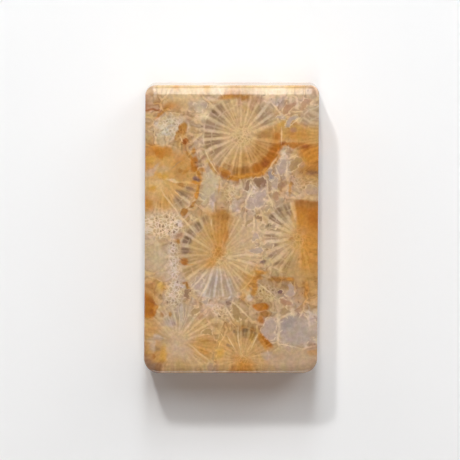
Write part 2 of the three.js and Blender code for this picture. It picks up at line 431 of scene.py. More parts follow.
STAINS = (
    # Broad ground colours
    haze(OCHRE, -8.6, 7.4, 4.0, 3.8, 0, 0.95),
    haze(YELLOW_OCHRE, -9.6, 8.2, 1.8, 2.6, 0, 0.4),
    haze(OCHRE, -7.6, 15.9, 2.6, 1.3, 0, 0.65),
    haze(OCHRE, -10.2, 13.2, 3.0, 1.1, 90, 0.55),
    haze(GREY_GREEN, -7.8, 12.9, 2.6, 1.8, 0, 0.9),
    haze(BEIGE, -3.6, 14.6, 2.6, 1.6, -30, 0.5),
    haze(TAN, 1.3, 12.0, 4.6, 4.6),
    haze(OCHRE, 4.0, 10.2, 3.0, 2.2, 40, 0.5),
    haze(ROSE_BEIGE, 6.8, 16.4, 4.0, 1.4, 0, 0.6),
    haze(OCHRE, 8.2, 12.2, 3.0, 1.7, 0, 0.95),
    haze(OCHRE, 10.2, 9.4, 2.0, 2.6, 0, 0.85),
    haze(TAN, 10.0, 13.6, 1.8, 1.4, 0, 0.5),
    haze(PALE_LAVENDER, 6.4, 8.4, 2.4, 1.3, 80, 0.8),
    haze(PALE_LAVENDER, 3.2, 4.8, 2.6, 2.0, 90, 0.8),
    haze(ROSE_BEIGE, 9.4, 5.6, 2.2, 1.7, 0, 0.6),
    haze(GREY_GREEN, -2.7, 5.2, 2.6, 1.4, 85, 0.85),
    haze(BEIGE, -0.4, 5.0, 2.2, 1.4, 85, 0.6),
    haze(OLIVE_TAN, -2.4, -2.0, 5.0, 4.4, 60, 0.75),
    haze(OCHRE, -2.0, -1.6, 3.8, 2.2, 85, 0.8),
    haze(GREENISH_CREAM, 1.6, -3.2, 2.4, 3.4, 90),
    haze(CREAM, 2.8, -1.4, 2.8, 1.6, 80, 0.55),
    haze(PALE_LAVENDER, -1.8, -7.0, 3.2, 1.7, 0, 0.9),
    haze(GREENISH_CREAM, 6.4, 0.0, 3.4, 2.0, 90),
    haze(OCHRE, 9.6, -2.0, 5.2, 2.3, 90, 0.95),
    haze(OCHRE, 9.6, -5.4, 2.6, 2.2, 0, 0.75),
    haze(BEIGE, -8.8, 0.6, 3.0, 2.0),
    haze(CREAM, -8.6, 1.0, 2.6, 1.6, 0, 0.2),
    haze(GREY_GREEN, -9.5, -3.4, 2.4, 1.5, 90, 0.95),
    haze(PALE_LAVENDER, -7.2, -5.2, 4.2, 1.2, 90),
    haze(OCHRE, -9.4, -6.8, 1.8, 1.6, 0, 0.6),
    haze(ORANGE, -10.4, -9.4, 3.2, 1.1, 90, 0.8),
    haze(GREY_GREEN, -6.4, -10.8, 2.6, 1.8, 90, 0.75),
    haze(BEIGE, -6.8, -14.6, 2.6, 2.4, 90, 0.8),
    haze(PALE_LAVENDER, -6.7, -15.3, 2.0, 1.5, 90, 0.6),
    haze(OCHRE, -9.8, -16.2, 2.4, 1.6, 70, 0.85),
    haze(OLIVE_TAN, -6.4, -17.2, 2.2, 1.2),
    haze(OCHRE, -2.8, -14.2, 3.4, 3.0, 0, 0.6),
    haze(ROSE_BEIGE, -2.6, -9.6, 2.6, 1.4, 0, 0.6),
    haze(TAN, 0.6, -11.4, 2.6, 2.2, 0, 0.6),
    haze(OLIVE_TAN, 1.6, -14.2, 3.0, 2.0),
    haze(OCHRE, 1.4, -17.4, 2.6, 1.2, 0, 0.6),
    haze(OLIVE_TAN, 4.4, -8.0, 2.4, 1.6, 0, 0.6),
    haze(LAVENDER, 6.6, -7.8, 1.8, 1.4),
    haze(OCHRE, 9.6, -8.2, 2.0, 1.8),
    haze(CHALCEDONY, 8.4, -12.6, 3.4, 2.6, 0, 1.0),
    haze(LAVENDER, 4.7, -12.8, 2.0, 1.4, 80, 0.9),
    haze(BEIGE, 7.8, -16.8, 4.4, 1.8, 0, 0.95),
    haze(LAVENDER, 7.2, -16.4, 3.4, 1.2, 0, 0.45),
    haze(BROWN_OCHRE, 9.8, 7.4, 2.2, 1.9, 0, 0.85),
    haze(OLIVE, 9.4, 6.0, 2.0, 1.4, 0, 0.4),
    haze(SMOKE, 5.4, 6.8, 2.4, 1.6, 80, 0.4),
    haze(SMOKE, 2.4, 6.6, 2.4, 1.2, 0, 0.35),
    haze(SMOKE, 6.0, -6.8, 2.4, 1.4, 0, 0.55),
    haze(BROWN_OCHRE, 9.8, -6.8, 1.8, 1.6, 0, 0.3),
    haze(BROWN_OCHRE, 9.2, 10.6, 2.2, 1.4, 0, 0.4),
    haze(OLIVE, 5.4, -6.8, 2.4, 1.6, 0, 0.6),
    haze(BROWN_OCHRE, 9.4, -6.6, 2.2, 1.6, 0, 0.4),
    haze(OLIVE, 4.6, -9.6, 2.4, 1.8, 0, 0.4),
    haze(OLIVE, 2.0, -10.4, 2.0, 1.8, 0, 0.3),
    haze(OLIVE, 5.4, -15.6, 2.6, 1.4, 0, 0.3),
    haze(GREY_TAN, 9.0, -16.8, 2.6, 1.4, 0, 0.6),
    # Far left corner and the pale net below it
    stain(PINK_BROWN, -10.4, 16.4, 1.5, 0.8, 90, 0.9),
    stain(RUST, -10.6, 16.0, 1.1, 0.4, 90, 0.7),
    stain(BROWN_OCHRE, -9.5, 16.3, 0.6, 0.4, 60, 0.75),
    stain(RUST, -9.7, 15.15, 1.1, 0.16, 0, 0.8),
    stain(ORANGE, -7.9, 15.8, 0.9, 0.6, 20, 0.7),
    stain(BROWN_OCHRE, -8.3, 15.6, 0.4, 0.3, 20, 0.5),
    stain(ORANGE, -8.9, 14.7, 0.9, 0.26, 40, 0.75),
    cell(LAVENDER, -3.7, 15.5, 0.75, 0.6, 0, 1.0),
    stain(PALE_LAVENDER, -2.4, 16.9, 1.0, 0.6, 0, 0.8),
    stain(CHALCEDONY, -7.8, 13.0, 0.7, 0.3, 30, 0.6),
    stain(CHALCEDONY, -9.4, 13.6, 0.4, 0.25, 0, 0.6),
    stain(CHALCEDONY, -8.3, 12.2, 0.45, 0.25, 0, 0.6),
    stain(BROWN_OCHRE, -6.2, 12.8, 0.95, 0.55, 80, 1.0, 0.35),
    stain(BROWN_OCHRE, -6.9, 12.0, 0.7, 0.35, 60, 0.9, 0.35),
    stain(OCHRE, -6.2, 11.4, 1.1, 1.1, 0, 0.8),
    stain(RUST, -5.85, 11.3, 0.45, 0.32, 90, 1.0, 0.35),
    # Far edge
    stain(GREENISH_CREAM, -8.6, 17.5, 1.1, 0.45, 0, 0.8),
    stain(ORANGE, -7.0, 17.5, 0.45, 0.3, 0, 0.7),
    stain(GREENISH_CREAM, -5.0, 17.5, 1.3, 0.45, 0, 0.8),
    stain(ORANGE, -3.1, 17.5, 0.5, 0.3, 0, 0.7),
    stain(PALE_LAVENDER, -1.5, 17.5, 1.1, 0.4),
    stain(SMOKE, 1.5, 17.5, 0.35, 0.25, 0, 0.6),
    stain(GREENISH_CREAM, 4.3, 17.5, 1.0, 0.4, 0, 0.8),
    stain(OCHRE, 7.8, 17.5, 1.4, 0.35, 0, 0.7),
    # Painted highlight: a pale cream band along the far edge that stands in for the sheen near the
    # rim of the flat face
    stain(CREAM, -0.5, 17.0, 12.0, 1.2, 0, 0.5, 0.8),
    stain(TAN, 9.6, 17.4, 0.6, 0.4, 0, 0.5),
    # Upper left cup
    stain(ORANGE, -9.4, 10.2, 1.0, 0.7, -30),
    stain(ORANGE, -8.3, 9.8, 1.2, 0.8, 0, 0.55),
    stain(DEEP_ORANGE, -9.4, 10.0, 0.5, 0.4, 0, 0.6),
    stain(OLIVE, -7.3, 10.5, 0.7, 0.22, 85, 0.7),
    stain(OLIVE, -6.3, 10.4, 0.7, 0.2, 95, 0.7),
    stain(SMOKE, -5.3, 10.7, 0.35, 0.25, 0, 0.6),
    stain(ORANGE, -10.6, 8.6, 1.6, 0.6, 90, 0.7),
    stain(ORANGE, -6.6, 8.8, 1.2, 0.7, 50, 0.4),
    stain(DEEP_ORANGE, -4.7, 8.4, 1.2, 0.55, 85, 0.9, 0.35),
    stain(ORANGE, -4.8, 10.2, 0.5, 0.3, 90, 0.8),
    stain(SMOKE, -4.1, 8.5, 0.6, 0.5, 0, 0.75),
    stain(PINK_BROWN, -3.5, 9.1, 0.4, 0.35, 0, 0.8),
    stain(ORANGE, -3.7, 7.7, 0.5, 0.3, 0, 0.7),
    stain(OLIVE, -3.2, 10.5, 0.35, 0.35, 0, 0.8),
    stain(BROWN_OCHRE, -6.4, 5.7, 0.6, 0.26, -15, 0.75),
    stain(SMOKE, -5.3, 5.2, 0.65, 0.32, -20, 0.75),
    stain(SMOKE, -6.5, 4.7, 0.8, 0.3, -30, 0.7),
    stain(SMOKE, -6.8, 3.6, 0.9, 0.33, -58, 0.65),
    stain(CREAM, -9.3, 5.7, 1.4, 1.2, 0, 0.5, HAZE_EDGE),
    stain(PALE_LAVENDER, -9.9, 7.4, 1.5, 0.4, 50, 0.55),
    stain(BEIGE, -8.6, 7.7, 1.0, 0.5, 20, 0.6),
    stain(YELLOW_OCHRE, -8.7, 6.7, 0.9, 0.4, -20, 0.7),
    stain(YELLOW_OCHRE, -9.9, 9.0, 0.6, 0.4, 40, 0.6),
    stain(OLIVE, -7.0, 8.3, 0.9, 0.16, 38, 0.75),
    stain(BROWN_OCHRE, -6.5, 7.5, 0.4, 0.22, 10, 0.7),
    stain(ORANGE, -5.7, 7.6, 0.9, 0.3, 50, 0.55),
    stain(PALE_CREAM, -7.5, 6.2, 0.9, 0.25, -10, 0.45),
    stain(YELLOW_OCHRE, -9.8, 5.2, 0.5, 0.45, 0, 0.9),
    stain(PLUM, -4.5, 6.5, 0.42, 0.36, 0, 0.9),
    stain(ORANGE, -4.6, 6.0, 0.55, 0.22, 0, 0.9, 0.35),
    stain(ORANGE, -4.3, 4.7, 0.9, 0.22, 85, 0.9, 0.35),
    stain(BROWN_OCHRE, -4.8, 3.3, 0.7, 0.22, 50, 0.9, 0.35),
    stain(ORANGE, -10.4, 3.3, 1.1, 0.7, 90, 0.9),
    stain(OCHRE, -8.5, 3.4, 1.1, 1.0, 0, 0.8),
    stain(BROWN_OCHRE, -5.9, 2.2, 0.7, 0.36, 38, 0.95, 0.35),
    stain(OCHRE, -2.4, 8.0, 1.3, 0.28, -50, 0.9),
    # Far middle cup: brown far rim, orange rim on its near right
    stain(ORANGE, -0.6, 16.7, 1.2, 0.5, 0, 0.8),
    stain(BROWN_OCHRE, 1.3, 16.8, 1.5, 0.55, 0, 0.9),
    stain(PINK_BROWN, 3.2, 16.5, 1.0, 0.55, 0, 0.75),
    stain(PINK_BROWN, 1.0, 16.0, 0.8, 0.4, 90, 0.6),
    stain(PINK_BROWN, 2.6, 15.6, 0.6, 0.4, 90, 0.6),
    stain(CREAM, -3.5, 14.6, 1.1, 0.7, -40, 0.6),
    stain(SMOKE, -1.6, 15.6, 0.6, 0.4, -45, 0.6),
    stain(SMOKE, -0.6, 16.1, 0.4, 0.25, 0, 0.5),
    stain(DARK_OLIVE, -2.2, 14.9, 0.4, 0.2, -40, 0.75),
    stain(DEEP_ORANGE, 5.8, 11.8, 0.7, 0.5, 90, 0.7),
    stain(DEEP_ORANGE, 5.7, 10.3, 0.9, 0.6, 30, 1.0),
    stain(DEEP_ORANGE, 5.0, 9.2, 0.9, 0.6, 50, 1.0),
    stain(RUST, 4.2, 8.4, 0.75, 0.5, 40, 0.9),
    stain(DEEP_ORANGE, 3.2, 7.7, 0.9, 0.6, 20, 0.95),
    stain(BROWN_OCHRE, 1.6, 7.4, 1.1, 0.5, 5),
    stain(ORANGE, 1.2, 6.8, 2.4, 0.3, 5, 0.95),
    stain(DEEP_ORANGE, -0.9, 7.2, 0.9, 0.5, -20, 0.9),
    stain(SMOKE, -1.6, 8.4, 0.7, 0.35, 60, 0.5),
    # Far right: pink-brown cells, a lavender bar and the orange belt
    stain(LAVENDER, 5.8, 16.2, 1.1, 0.6, 0, 0.8),
    cell(PINK_BROWN, 7.2, 15.4, 1.3, 0.6, 45, 0.8),
    cell(PINK_BROWN, 9.2, 15.8, 0.8, 0.6, 40, 0.55),
    cell(LAVENDER, 6.3, 14.5, 0.5, 0.4, 0, 0.8),
    cell(LAVENDER, 7.6, 13.9, 1.4, 0.45, 44, 1.0),
    stain(YELLOW_OCHRE, 6.4, 13.4, 0.7, 0.4, 40, 0.6),
    stain(ORANGE, 8.2, 11.9, 1.6, 0.6, 0, 0.5),
    stain(DEEP_ORANGE, 7.7, 10.7, 2.0, 0.36),
    stain(RUST, 9.4, 10.4, 0.8, 0.36, 10),
    stain(RUST, 6.5, 10.9, 0.6, 0.3, 0, 0.8),
    stain(ORANGE, 10.3, 8.6, 1.8, 0.9, 70),
    stain(PINK_BROWN, 7.8, 12.6, 0.45, 0.35, 0, 0.8),
    # Cells between the cups on the right
    cell(LAVENDER, 6.5, 7.9, 1.2, 0.7, 80, 0.9),
    cell(OLIVE, 8.0, 8.3, 1.2, 0.5, 60, 0.75),
    stain(PINK_BROWN, 8.9, 8.3, 0.5, 0.3, 60, 0.7),
    cell(BLUE_GREY, 5.1, 7.0, 0.9, 0.5, 85, 0.8),
    cell(LAVENDER, 5.5, 5.9, 1.0, 0.5, 90, 0.8),
    stain(PLUM, 9.9, 7.2, 0.5, 0.42, 0, 0.8),
    cell(SMOKE, 3.5, 6.0, 0.95, 0.75, 90, 1.0),
    cell(LAVENDER, 3.5, 4.2, 1.4, 0.75, 85, 1.0),
    cell(LAVENDER, 2.6, 3.2, 0.9, 0.55, 20, 0.9),
    cell(SMOKE, 2.0, 5.7, 0.8, 0.42, 60, 0.8),
    cell(PINK_BROWN, 5.3, 4.3, 0.7, 0.5, 60, 0.7),
    stain(TAN, 4.5, 2.3, 0.9, 0.4, 0, 0.8),
    stain(ORANGE, 7.4, 5.2, 1.0, 0.2, 88, 0.7),
    stain(BROWN_OCHRE, 7.5, 5.9, 0.35, 0.3, 0, 0.7),
    cell(LAVENDER, 10.0, 5.2, 0.9, 0.6, 0, 0.8),
    cell(SMOKE, 3.4, 1.7, 0.8, 0.36, -55, 0.8),
    cell(GREY_TAN, 4.6, 2.9, 0.6, 0.4, 60, 0.8),
    cell(GREY_TAN, 5.0, 0.3, 0.75, 0.35, 10, 0.8),
    cell(LAVENDER, 2.8, -0.9, 0.75, 0.42, 80, 0.75),
    cell(GREY_TAN, 4.5, -2.0, 0.85, 0.34),
    cell(GREY_TAN, 4.7, -3.3, 0.6, 0.34, 20),
    cell(OLIVE, 1.9, 0.9, 0.7, 0.34, 70, 0.55),
    stain(OCHRE, 9.6, 6.0, 2.2, 1.4, 90, 0.35, 0.85),
    # Space between the far middle cup and the middle cup
    stain(GREY_GREEN, -2.7, 5.8, 1.5, 0.9, 80, 0.9),
    stain(LAVENDER, -2.4, 3.6, 1.1, 0.45, 85),
    stain(OCHRE, -1.5, 5.4, 1.2, 0.16, 88, 0.6),
    stain(OLIVE_TAN, -0.7, 4.8, 1.5, 0.6, 80, 0.6),
    stain(PALE_LAVENDER, 0.4, 2.8, 0.8, 0.5, 0, 0.8),
    # Right cup: dark cells on its left rim, an orange cap over its right half
    stain(OLIVE, 6.7, 2.2, 1.0, 0.6, 60, 0.6),
    stain(DARK_OLIVE, 6.1, 2.6, 0.5, 0.38, 30, 0.7),
    stain(DARK_OLIVE, 5.1, 1.7, 0.5, 0.35, 40, 0.6),
    stain(DARK_OLIVE, 4.7, 0.6, 0.55, 0.28, 10, 0.7),
    stain(DARK_OLIVE, 4.9, -0.65, 1.0, 0.2, -8, 0.6),
    stain(ORANGE, 10.1, 0.4, 2.6, 1.7, 90, 0.7, 0.7),
    stain(DEEP_ORANGE, 10.4, 1.4, 1.8, 0.7, 90, 0.8),
    stain(ORANGE, 9.8, -1.6, 1.2, 0.6, 60, 0.6),
    stain(TAN, 8.5, -0.4, 0.9, 0.4, 70, 0.5),
    stain(GOLD, 7.75, 2.2, 1.8, 0.35, 88, 0.6),
    stain(ORANGE, 8.6, 0.6, 1.9, 0.5, 88, 0.6, 0.6),
    stain(BROWN_OCHRE, 9.9, 7.7, 1.2, 0.8, 0, 0.5, 0.8),
    stain(BROWN_OCHRE, 7.5, -1.3, 0.4, 0.25, 20, 0.7),
    stain(ORANGE, 9.6, -3.4, 2.0, 1.4, 90, 0.6),
    stain(OLIVE, 7.2, -4.6, 1.2, 0.6, 75, 0.6),
    stain(PLUM, 4.0, -4.0, 0.42, 0.28, 0, 0.8),
    cell(LAVENDER, 3.2, -2.4, 0.8, 0.45),
    stain(SMOKE, 3.2, -1.8, 0.35, 0.26, 0, 0.6),
    stain(SMOKE, 5.1, -3.1, 0.5, 0.24, 30, 0.7),
    stain(DARK_OLIVE, 5.7, -4.3, 0.5, 0.25, 30, 0.65),
    stain(ORANGE, 3.8, -5.4, 0.9, 0.4),
    # Middle cup: a brown-orange sector, an orange heart and dark cells on its left rim
    stain(DARK_OLIVE, -5.3, -0.2, 0.5, 0.3, -20, 0.6),
    stain(DARK_OLIVE, -5.3, -1.1, 0.55, 0.24, -20, 0.6),
    stain(DARK_OLIVE, -4.3, 0.75, 0.5, 0.32, -40, 0.6),
    stain(OLIVE, -3.3, 1.6, 0.5, 0.35, -60, 0.6),
    stain(SMOKE, -5.6, -2.6, 0.7, 0.42, -8, 0.6),
    stain(DEEP_ORANGE, -6.0, -4.1, 0.55, 0.3, -12, 0.8),
    stain(ORANGE, -5.2, -4.3, 0.6, 0.16, -10, 0.6),
    stain(RUST, -6.0, -3.75, 0.6, 0.16, -6, 0.7),
    stain(ORANGE, -1.5, 0.4, 2.4, 1.1, 88, 0.5, 0.5),
    stain(BROWN_OCHRE, -1.1, 1.7, 0.9, 0.7, 0, 0.65, 0.4),
    stain(OLIVE_TAN, -2.3, 0.6, 1.3, 1.0, 70, 0.35, 0.85),
    stain(DEEP_ORANGE, -0.75, -0.8, 1.7, 0.3, 82, 0.5),
    stain(ORANGE, -1.6, -2.7, 1.0, 0.8, 60, 0.65, 0.8),
    stain(BROWN_OCHRE, -1.5, -2.8, 0.6, 0.4, 60, 0.5, 0.7),
    stain(ORANGE, -2.5, -4.0, 1.1, 0.7, 50, 0.5, 0.8),
    stain(CHALCEDONY, -2.3, -7.3, 1.9, 0.65, 80, 0.7),
    stain(CHALCEDONY, -0.2, -7.4, 1.6, 0.6, 95, 0.6),
    cell(LAVENDER, -4.3, -6.8, 1.0, 0.5, 50, 0.7),
    stain(OCHRE, 1.9, -6.0, 1.2, 0.5, -40, 0.6),
    # Sponge on the left
    stain(PINK_BROWN, -6.5, -0.7, 0.6, 0.4, 0, 0.8),
    stain(BROWN_OCHRE, -6.7, -1.4, 0.4, 0.28, -20, 0.95),
    stain(PALE_LAVENDER, -6.6, 0.7, 0.6, 0.5, 0, 0.8),
    # Near left
    stain(YELLOW_OCHRE, -8.7, -7.1, 0.7, 0.5, 0, 0.7),
    stain(ORANGE, -10.6, -8.2, 1.6, 0.45, 98, 0.9),
    stain(DEEP_ORANGE, -10.1, -9.3, 1.4, 0.55, 104, 0.95, 0.35),
    stain(DEEP_ORANGE, -10.2, -10.6, 0.8, 0.8, 0, 0.95, 0.35),
    stain(ORANGE, -9.4, -9.9, 0.6, 0.35, 80, 0.8, 0.35),
    stain(RUST, -9.7, -9.0, 0.6, 0.2, 110, 0.8),
    stain(RUST, -9.9, -10.4, 0.4, 0.2, 70, 0.7),
    stain(ORANGE, -10.8, -9.6, 0.9, 0.3, 90, 0.6),
    stain(BROWN_OCHRE, -5.4, -7.2, 0.8, 0.28, 105, 0.95),
    stain(BROWN_OCHRE, -5.9, -6.6, 0.5, 0.22, 0, 0.8),
    stain(LAVENDER, -6.1, -7.3, 0.45, 0.4, 0, 0.8),
    cell(SMOKE, -5.4, -8.1, 0.55, 0.36, 25),
    stain(GREY_TAN, -6.3, -10.4, 1.7, 0.65, 88, 0.8),
    stain(CHALCEDONY, -6.4, -10.2, 1.3, 0.4, 88, 0.5),
    stain(BROWN_OCHRE, -7.7, -10.8, 0.35, 0.25, 95, 0.8),
    stain(BROWN_OCHRE, -8.8, -11.0, 0.45, 0.28, 95, 0.7),
    stain(CHALCEDONY, -8.0, -11.8, 0.8, 0.6, 0, 0.7),
    cell(OLIVE, -4.8, -10.4, 0.8, 0.5, 30, 0.6),
    stain(GREENISH_CREAM, -1.8, -13.0, 1.5, 1.1, 0, 0.35, 0.85),
    stain(PINK_BROWN, -3.8, -10.9, 0.55, 0.4, 0, 0.7),
    cell(LAVENDER, -3.2, -8.9, 0.7, 0.36, 0, 0.8),
    cell(OLIVE, -3.0, -13.0, 0.9, 0.28, 5, 0.7),
    stain(BROWN_OCHRE, -3.1, -14.25, 1.2, 0.22, 3, 0.7),
    stain(YELLOW_OCHRE, -1.5, -15.7, 0.7, 0.5, 60, 0.7),
    stain(ORANGE, -3.5, -15.4, 0.9, 0.35, -30, 0.5),
    stain(LAVENDER, -9.3, -13.7, 0.6, 0.5, 0, 0.7),
    stain(SMOKE, -9.6, -15.1, 0.5, 0.32, 0, 0.7),
    stain(RUST, -10.6, -13.6, 1.2, 0.35, 90, 0.6),
    stain(RUST, -10.6, -15.6, 0.9, 0.35, 90, 0.6),
    stain(YELLOW_OCHRE, -8.7, -15.8, 1.3, 0.5, 86, 0.75),
    stain(PALE_LAVENDER, -9.9, -14.6, 0.9, 0.3, 88, 0.6),
    stain(ORANGE, -9.3, -17.3, 0.8, 0.4, 60, 0.8),
    stain(RUST, -9.9, -16.1, 0.5, 0.25, 100, 0.6),
    stain(SMOKE, -9.6, -17.4, 1.3, 0.5, 20, 0.7),
    stain(PLUM, -10.4, -16.6, 0.8, 0.4, 90, 0.4),
    # Near middle cup
    stain(SMOKE, -0.5, -9.3, 0.4, 0.3, 0, 0.8),
    cell(OLIVE, 0.4, -10.4, 1.3, 0.42, -58),
    stain(DARK_OLIVE, 0.3, -12.8, 0.3, 0.26, 0, 0.7),
    stain(SMOKE, -0.4, -14.7, 0.4, 0.26, 0, 0.7),
    stain(DARK_OLIVE, 1.6, -12.7, 0.45, 0.33, 0, 0.8),
    stain(BROWN_OCHRE, 2.5, -12.7, 0.4, 0.32, 0, 0.8),
    stain(YELLOW_OCHRE, 2.5, -13.6, 0.7, 0.4, 90, 0.6),
    stain(ORANGE, 1.4, -16.6, 1.7, 0.7, -20, 0.6, 0.7),
    stain(BROWN_OCHRE, 0.9, -17.7, 2.0, 0.3, 0, 0.8),
    # Near right: orange islands, a plum spot and the grey chalcedony pool
    stain(PALE_LAVENDER, 9.9, -11.2, 1.6, 0.28, 97, 0.7, 0.9),
    stain(BEIGE, 9.2, -10.9, 1.3, 0.16, 104, 0.6, 0.9),
    stain(OCHRE, 1.5, -8.4, 0.6, 0.6, 0, 0.8),
    stain(ORANGE, 2.9, -7.4, 1.1, 0.38, 85),
    stain(PALE_LAVENDER, 2.4, -8.5, 0.5, 0.45, 0, 0.9),
    stain(DEEP_ORANGE, 3.7, -9.7, 1.1, 0.6, -5, 1.0, 0.35),
    stain(BROWN_OCHRE, 4.2, -10.7, 0.9, 0.65, 0, 0.9),
    stain(DEEP_ORANGE, 3.7, -11.5, 0.6, 0.5, 90),
    stain(BROWN_OCHRE, 6.0, -6.3, 1.6, 0.4, 0, 0.9),
    stain(BROWN_OCHRE, 3.6, -6.1, 0.5, 0.3, 0, 0.8),
    stain(ORANGE, 7.4, -6.3, 0.6, 0.32, 0, 0.8),
    cell(PLUM, 5.9, -7.8, 0.5, 0.44, 0, 0.95),
    cell(LAVENDER, 7.4, -7.6, 0.8, 0.6, 85, 0.9),
    cell(PINK_BROWN, 6.8, -9.3, 0.9, 0.6, -10, 0.9),
    stain(ORANGE, 9.3, -7.8, 1.6, 0.3, 90, 0.6),
    cell(LAVENDER, 4.8, -12.6, 1.4, 0.85, 80, 1.0),
    stain(DEEP_ORANGE, 4.3, -14.0, 1.4, 0.32, -50, 0.95, 0.35),
    cell(CHALCEDONY, 8.2, -12.6, 2.2, 1.9, 10, 0.9),
    stain(BLUE_GREY, 7.3, -11.9, 1.2, 0.7, 40, 0.35),
    stain(PALE_LAVENDER, 9.9, -11.8, 1.6, 0.5, 100, 0.6),
    stain(LAVENDER, 4.7, -15.9, 0.9, 0.6, 0, 0.7),
    stain(ORANGE, 10.2, -15.5, 0.7, 0.5, 0, 0.4),
)

VEINS = (
    Vein((-8.9, 5.1), (-6.6, 1.9), 0.13),
    Vein((-6.7, 2.1), (-4.1, -0.8), 0.15),
    Vein((-3.4, 10.3), (-2.9, 8.8), 0.1),
    Vein((-3.0, 9.0), (-1.6, 7.1), 0.1),
    Vein((-0.6, -3.3), (4.2, -3.15), 0.2, 0.6),
    Vein((-2.5, -5.8), (-4.2, -9.0), 0.16),
    Vein((-2.9, -5.2), (-5.4, -7.8), 0.12),
    Vein((-2.6, 1.4), (-2.5, 0.5), 0.1),
    Vein((5.6, -14.5), (8.3, -14.8), 0.09),
    Vein((5.8, -10.6), (6.1, -12.6), 0.2),
    Vein((6.1, -12.3), (5.7, -14.6), 0.2),
    Vein((6.1, -11.3), (7.4, -10.5), 0.2),
    Vein((7.2, -10.5), (8.1, -10.9), 0.16),
    Vein((7.7, -10.6), (7.9, -11.2), 0.12),
    Vein((8.5, -11.3), (9.1, -10.0), 0.14),
    Vein((6.1, -11.8), (6.6, -11.6), 0.12),
    Vein((6.0, -13.0), (6.5, -12.7), 0.12),
    Vein((6.8, -10.9), (7.1, -11.3), 0.1),
    Vein((9.5, -10.1), (10.0, -12.7), 0.16, 0.6),
    Vein((10.2, -10.3), (10.6, -13.0), 0.16, 0.6),
    Vein((0.75, -12.2), (1.15, -15.8), 0.12),
    Vein((-0.6, -13.4), (0.5, -15.3), 0.1),
    Vein((3.25, -12.9), (2.5, -15.2), 0.1),
    Vein((4.35, 6.7), (4.45, 4.9), 0.13),
    Vein((2.75, 5.8), (1.8, 3.1), 0.13),
    Vein((4.4, 5.0), (5.4, 2.4), 0.13),
    Vein((2.7, 2.2), (2.9, -0.2), 0.12),
    Vein((5.9, 9.4), (4.4, 7.4), 0.16),
    Vein((5.5, 8.3), (6.3, 6.1), 0.13),
    Vein((7.2, 8.9), (5.8, 9.1), 0.12),
    Vein((7.2, 8.9), (8.3, 9.5), 0.12),
    Vein((7.1, 8.8), (7.0, 6.6), 0.1),
    Vein((5.4, -8.4), (3.3, -6.8), 0.12),
    Vein((0.2, -9.1), (2.5, -11.3), 0.13),
    Vein((-0.9, -9.5), (0.4, -11.6), 0.13),
    Vein((4.9, 16.2), (6.2, 14.9), 0.13),
    Vein((6.3, 14.2), (7.6, 14.95), 0.13),
    Vein((7.5, 14.95), (9.1, 15.0), 0.11),
    Vein((8.9, 14.4), (7.2, 12.9), 0.1),
    Vein((6.3, 13.0), (6.3, 10.8), 0.1),
    Vein((-5.5, -14.4), (-2.5, -16.9), 0.12, 0.7),
    Vein((-6.7, -12.3), (-6.6, -9.4), 0.06, 0.8),
    Vein((-6.4, -12.3), (-6.0, -9.3), 0.06, 0.8),
    Vein((-6.3, -12.2), (-5.6, -9.6), 0.06, 0.8),
    Vein((-7.0, -12.2), (-7.3, -10.0), 0.07, 0.7),
    Vein((-8.2, 15.0), (-6.2, 14.6), 0.09, 0.7),
    Vein((-6.5, 11.9), (-6.2, 11.2), 0.1, 0.9),
)

# Where the fine sponge of tiny cells shows in place of cups and plain filling
SPONGE = (
    Oval(-8.6, 0.6, 2.8, 1.7, 0, 1.0, 0.4, 6.0),
    Oval(-7.2, -3.6, 3.4, 0.9, 92, 0.7, 0.5, 6.0),
    Oval(-7.2, -8.0, 2.2, 1.3, 90, 0.8, 0.5, 6.0),
    Oval(-8.0, 13.2, 2.2, 1.5, 0, 0.6, 0.5, 4.0),
    Oval(0.0, 4.6, 1.6, 0.9, 85, 0.6, 0.5, 4.0),
    Oval(4.4, -8.0, 1.6, 1.1, 0, 0.8, 0.5, 4.0),
    Oval(-1.4, -10.4, 1.4, 0.9, -20, 0.7, 0.5, 4.0),
    Oval(9.2, 5.8, 1.7, 1.1, 0, 0.6, 0.5, 4.0),
    Oval(1.3, 12.1, 1.7, 1.7, 0, 0.5, 0.6, 6.0),
)

